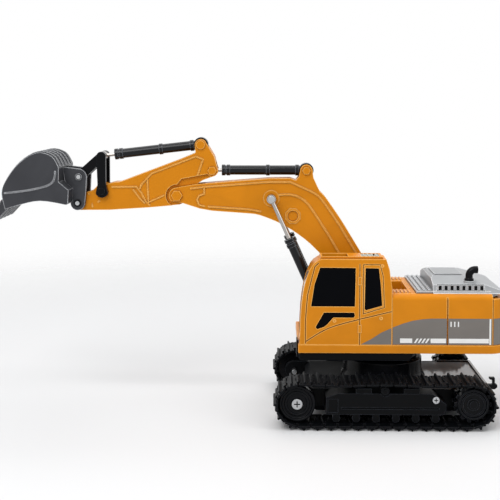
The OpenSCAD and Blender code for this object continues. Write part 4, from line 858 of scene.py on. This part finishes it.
# Its edges pale almost to white, partly as wear and partly as painted highlight, and its grooves
# darken strongly as painted shade.
silver_paint = finish_of("silver paint", colour(151, 153, 155), colour(232, 234, 236), gloss=0.36,
                         metal=0.35, grain=6000, relief=0.000012, drift=0.05, edge=0.0007,
                         gain=12, seam=0.9)
moulded("engine_cover", silver_paint, radius=0.4 * MM)
slot_black = finish_of("louvre shadow", colour(30, 30, 32), colour(60, 60, 63), gloss=0.6, gain=1,
                       specular=0.05)
grilles = moulded("engine_grilles", silver_paint, radius=0.12 * MM)
grille_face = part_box("engine_grilles")[1].y
second_finish(grilles, slot_black, lambda at: abs(at.y) < grille_face - 0.1 * MM)
moulded("exhaust_pipe", black_abs, radius=0.3 * MM, steps=3)


# ---- Cab ---------------------------------------------------------------------------------
# One hollow orange moulding with sunk door seams. The dark side panes and the clear
# windscreen are pressed in from outside, and a hatch and a vent plate close the roof.

def round_head(name, finish, steps):
    """A low round head: discs of (radius, low, high) in mm, one on top of the other."""
    work = bmesh.new()
    for radius, low, high in steps:
        prism(work, disc(radius, 14), low, high, across="z")
    bmesh.ops.scale(work, verts=work.verts, vec=(MM, MM, MM))
    return mesh_object(name, work, finish)


dark_pane = finish_of("dark glazing", colour(5, 6, 9), colour(14, 16, 19), gloss=0.1, gain=1,
                      grain=400, relief=0.000004, drift=0.1, specular=0.03)
# The hatch's dark brown is the shade inside the roof recess: painted shade.
hatch_shade_brown = finish_of("hatch painted shade brown", colour(74, 40, 24), colour(120, 78, 50), gloss=0.4)
vent_grey = finish_of("vent grey", colour(168, 170, 160), colour(214, 215, 208), gloss=0.4)

moulded("cab_shell", orange_abs, radius=0.4 * MM)
rivet = round_head("rivet_pattern", orange_abs, [(1.1, -0.1, 0.2), (0.7, 0.1, 0.36)])
fixings("cab_rivets", "cab_shell", [(80.2, -60, 94), (79.6, -60, 62.3), (51.7, -60, 60.7)],
        (0, -1, 0), rivet, orange_abs)
bpy.data.objects.remove(rivet)
moulded("cab_windows", dark_pane, radius=0.2 * MM)
moulded("roof_hatch", hatch_shade_brown, radius=0.25 * MM)
moulded("roof_vent", vent_grey, radius=0.2 * MM)

clear_pane = bpy.data.materials.new("clear styrene")
clear_pane.use_nodes = True
pane_shader = clear_pane.node_tree.nodes["Principled BSDF"]
pane_shader.inputs["Base Color"].default_value = colour(236, 240, 242)
pane_shader.inputs["Roughness"].default_value = 0.12
pane_shader.inputs["IOR"].default_value = 1.5
pane_shader.inputs["Transmission Weight"].default_value = 0.75
moulded("windscreen", clear_pane, radius=0.15 * MM)


# ---- Inside the house --------------------------------------------------------------------
# The green circuit board lies under the engine cover, and the steel-cased swing motor
# stands in front of it. Both are screwed to the platform and hidden once the house closes.

solder_mask = finish_of("solder mask", colour(24, 98, 52), colour(70, 140, 90), gloss=0.3)
coat_node("circuit_board", solder_mask)
coat_node("swing_motor", bright_steel)


# ---- Boom and stick ----------------------------------------------------------------------
# Each is two orange half shells screwed together, with moulded ribs that follow the outline.
# Plated pins and hexagon bolts hold the joints.

for node in ("boom_left", "boom_right", "stick_left", "stick_right"):
    moulded(node, orange_abs, radius=0.35 * MM)
fixings("boom_screws", "boom_right", [(66, 60, 98), (38, 60, 126), (4, 60, 138), (-26, 60, 139)],
        (0, 1, 0), screw, plated, seed=7)
fixings("stick_screws", "stick_right", [(-40, 60, 147), (-62, 60, 142), (-84, 60, 138)],
        (0, 1, 0), screw, plated, seed=9)
boom_bolts = moulded("boom_pins", plated, radius=0.2 * MM)
lift_pin_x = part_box("boom_rods")[0].x
second_finish(boom_bolts, orange_abs, lambda at: abs(at.x - lift_pin_x) > 8 * MM)
stick_bolts = moulded("stick_pins", black_abs, radius=0.2 * MM)
rocker_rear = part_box("rocker")[1].x
second_finish(stick_bolts, orange_abs, lambda at: at.x > rocker_rear + 12 * MM)


# ---- Bucket and its linkage --------------------------------------------------------------
# The bucket is sprayed gunmetal over a dark moulding, and its lips and creases are paled
# bright, partly as wear and partly as a painted highlight. The rocker and the link are
# glossy black.

# Its edges pale almost to white, partly as wear and partly as painted highlight.
gunmetal = finish_of("gunmetal paint", colour(58, 59, 63), colour(206, 208, 212), gloss=0.36,
                     metal=0.3, edge=0.0007, gain=9, grain=5000, relief=0.00002, drift=0.1,
                     specular=0.3)
moulded("bucket", gunmetal, radius=0.3 * MM)
moulded("bucket_teeth", gunmetal, radius=0.25 * MM)
moulded("bucket_pins", gunmetal, radius=0.2 * MM)
pin_end = round_head("pin_end_pattern", plated, [(1.3, -0.1, 0.2), (0.6, 0.1, 0.3)])
link_low, link_high = [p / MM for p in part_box("bucket_pins")]
pivot_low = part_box("stick_pins")[0] / MM
PIN_HEAD = 2.2
for side, name in ((-1, "left"), (1, "right")):
    fixings(f"link_pin_end_{name}", "bucket_pins",
            [((link_low.x + link_high.x) / 2, side * 60, (link_low.z + link_high.z) / 2)],
            (0, side, 0), pin_end, plated)
    fixings(f"pivot_pin_end_{name}", "stick_pins",
            [(pivot_low.x + PIN_HEAD, side * 60, pivot_low.z + PIN_HEAD)],
            (0, side, 0), pin_end, plated)
for pattern in (screw, pin_end):
    bpy.data.objects.remove(pattern)
moulded("rocker", black_abs, radius=0.35 * MM)
moulded("link", black_abs, radius=0.3 * MM)


# ---- Cylinders ---------------------------------------------------------------------------
# Glossy black barrels with raised clamp rings, moulded in one piece each, and thin steel
# rods that slide in them. Both ends hang on the pins of boom, stick and bucket linkage.

# Their edges pale to grey, partly as wear and partly as painted highlight.
barrel_black = finish_of("barrel black", colour(9, 11, 15), colour(124, 128, 136), gloss=0.14,
                         gain=12, relief=0.000008, specular=0.24)
rod_steel = finish_of("rod steel", colour(168, 163, 158), colour(220, 218, 215), gloss=0.2,
                      metal=0.9, grain=5200, relief=0.000008, drift=0.04)
for node in ("boom_barrels", "arm_barrel", "bucket_barrel"):
    moulded(node, barrel_black, radius=0.25 * MM)
for node in ("boom_rods", "arm_rod", "bucket_rod"):
    moulded(node, rod_steel, radius=0.15 * MM)


# ---- Studio ------------------------------------------------------------------------------
# A round white table that fades out towards a white room, under three large soft lamps and
# a narrow strip that draws the highlights. The camera looks at the cab side.

def soft_lamp(name, place, target, width, height, power):
    """A rectangular soft box that faces its target."""
    lamp = bpy.data.lights.new(name, "AREA")
    lamp.shape = "RECTANGLE"
    lamp.size, lamp.size_y = width, height
    lamp.energy = power
    stand = bpy.data.objects.new(name, lamp)
    stand.location = place
    stand.rotation_euler = (Vector(target) - Vector(place)).to_track_quat("-Z", "Y").to_euler()
    bpy.context.scene.collection.objects.link(stand)


work = bmesh.new()
bmesh.ops.create_circle(work, cap_ends=True, segments=64, radius=0.9)
table_white = bpy.data.materials.new("table white")
table_white.use_nodes = True
table_nodes, table_links = table_white.node_tree.nodes, table_white.node_tree.links
table_shader = table_nodes["Principled BSDF"]
table_shader.inputs["Base Color"].default_value = (0.78, 0.78, 0.785, 1)
table_shader.inputs["Roughness"].default_value = 0.6
table_shader.inputs["Specular IOR Level"].default_value = 0.1
spot = table_nodes.new("ShaderNodeTexCoord")
reach = table_nodes.new("ShaderNodeVectorMath")
reach.operation = "LENGTH"
fade = table_nodes.new("ShaderNodeMapRange")
fade.interpolation_type = "SMOOTHERSTEP"
fade.inputs["From Min"].default_value = 0.24
fade.inputs["From Max"].default_value = 0.75
fade.inputs["To Min"].default_value = 1
fade.inputs["To Max"].default_value = 0
table_links.new(spot.outputs["Object"], reach.inputs[0])
table_links.new(reach.outputs["Value"], fade.inputs["Value"])
table_links.new(fade.outputs["Result"], table_shader.inputs["Alpha"])
table_top = mesh_object("table_top", work, table_white)
table_top.location.z = -0.0002

soft_lamp("key", (-0.5, -0.9, 1.1), (0.02, 0, 0.06), 1.0, 0.8, 12)
soft_lamp("top", (0.1, 0.3, 1.25), (0.02, 0, 0.05), 1.4, 1.0, 8.5)
soft_lamp("strip", (0, -0.45, 1.25), (0, 0, 0.12), 1.6, 0.1, 2.5)
soft_lamp("side", (1.1, -0.5, 0.6), (0.05, 0, 0.06), 0.8, 0.8, 4)

world = bpy.data.worlds.new("white room")
world.use_nodes = True
bpy.context.scene.world = world
nodes, links = world.node_tree.nodes, world.node_tree.links
nodes.clear()
ray = nodes.new("ShaderNodeLightPath")
seen = nodes.new("ShaderNodeMath")
seen.operation = "MAXIMUM"
seen_through = nodes.new("ShaderNodeMath")
seen_through.operation = "MAXIMUM"
room, backdrop = nodes.new("ShaderNodeBackground"), nodes.new("ShaderNodeBackground")
room.inputs["Color"].default_value = (0.96, 0.98, 1, 1)
room.inputs["Strength"].default_value = 0.32
backdrop.inputs["Color"].default_value = (1, 1, 1, 1)
backdrop.inputs["Strength"].default_value = 1
chosen = nodes.new("ShaderNodeMixShader")
sky = nodes.new("ShaderNodeOutputWorld")
links.new(ray.outputs["Is Camera Ray"], seen.inputs[0])
links.new(ray.outputs["Is Glossy Ray"], seen.inputs[1])
links.new(seen.outputs[0], seen_through.inputs[0])
links.new(ray.outputs["Is Transmission Ray"], seen_through.inputs[1])
links.new(seen_through.outputs[0], chosen.inputs["Fac"])
links.new(room.outputs[0], chosen.inputs[1])
links.new(backdrop.outputs[0], chosen.inputs[2])
links.new(chosen.outputs[0], sky.inputs["Surface"])

lens = bpy.data.cameras.new("camera")
lens.lens = 69.937
lens.shift_y = -0.2
lens.clip_start, lens.clip_end = 0.01, 20
camera = bpy.data.objects.new("camera", lens)
camera.location = (0.01341, -0.6093, 0.19341)
camera.rotation_euler = (math.radians(90 - 2.968), 0, math.radians(1.235))
bpy.context.scene.collection.objects.link(camera)
bpy.context.scene.camera = camera
bpy.context.scene.view_settings.view_transform = "Standard"
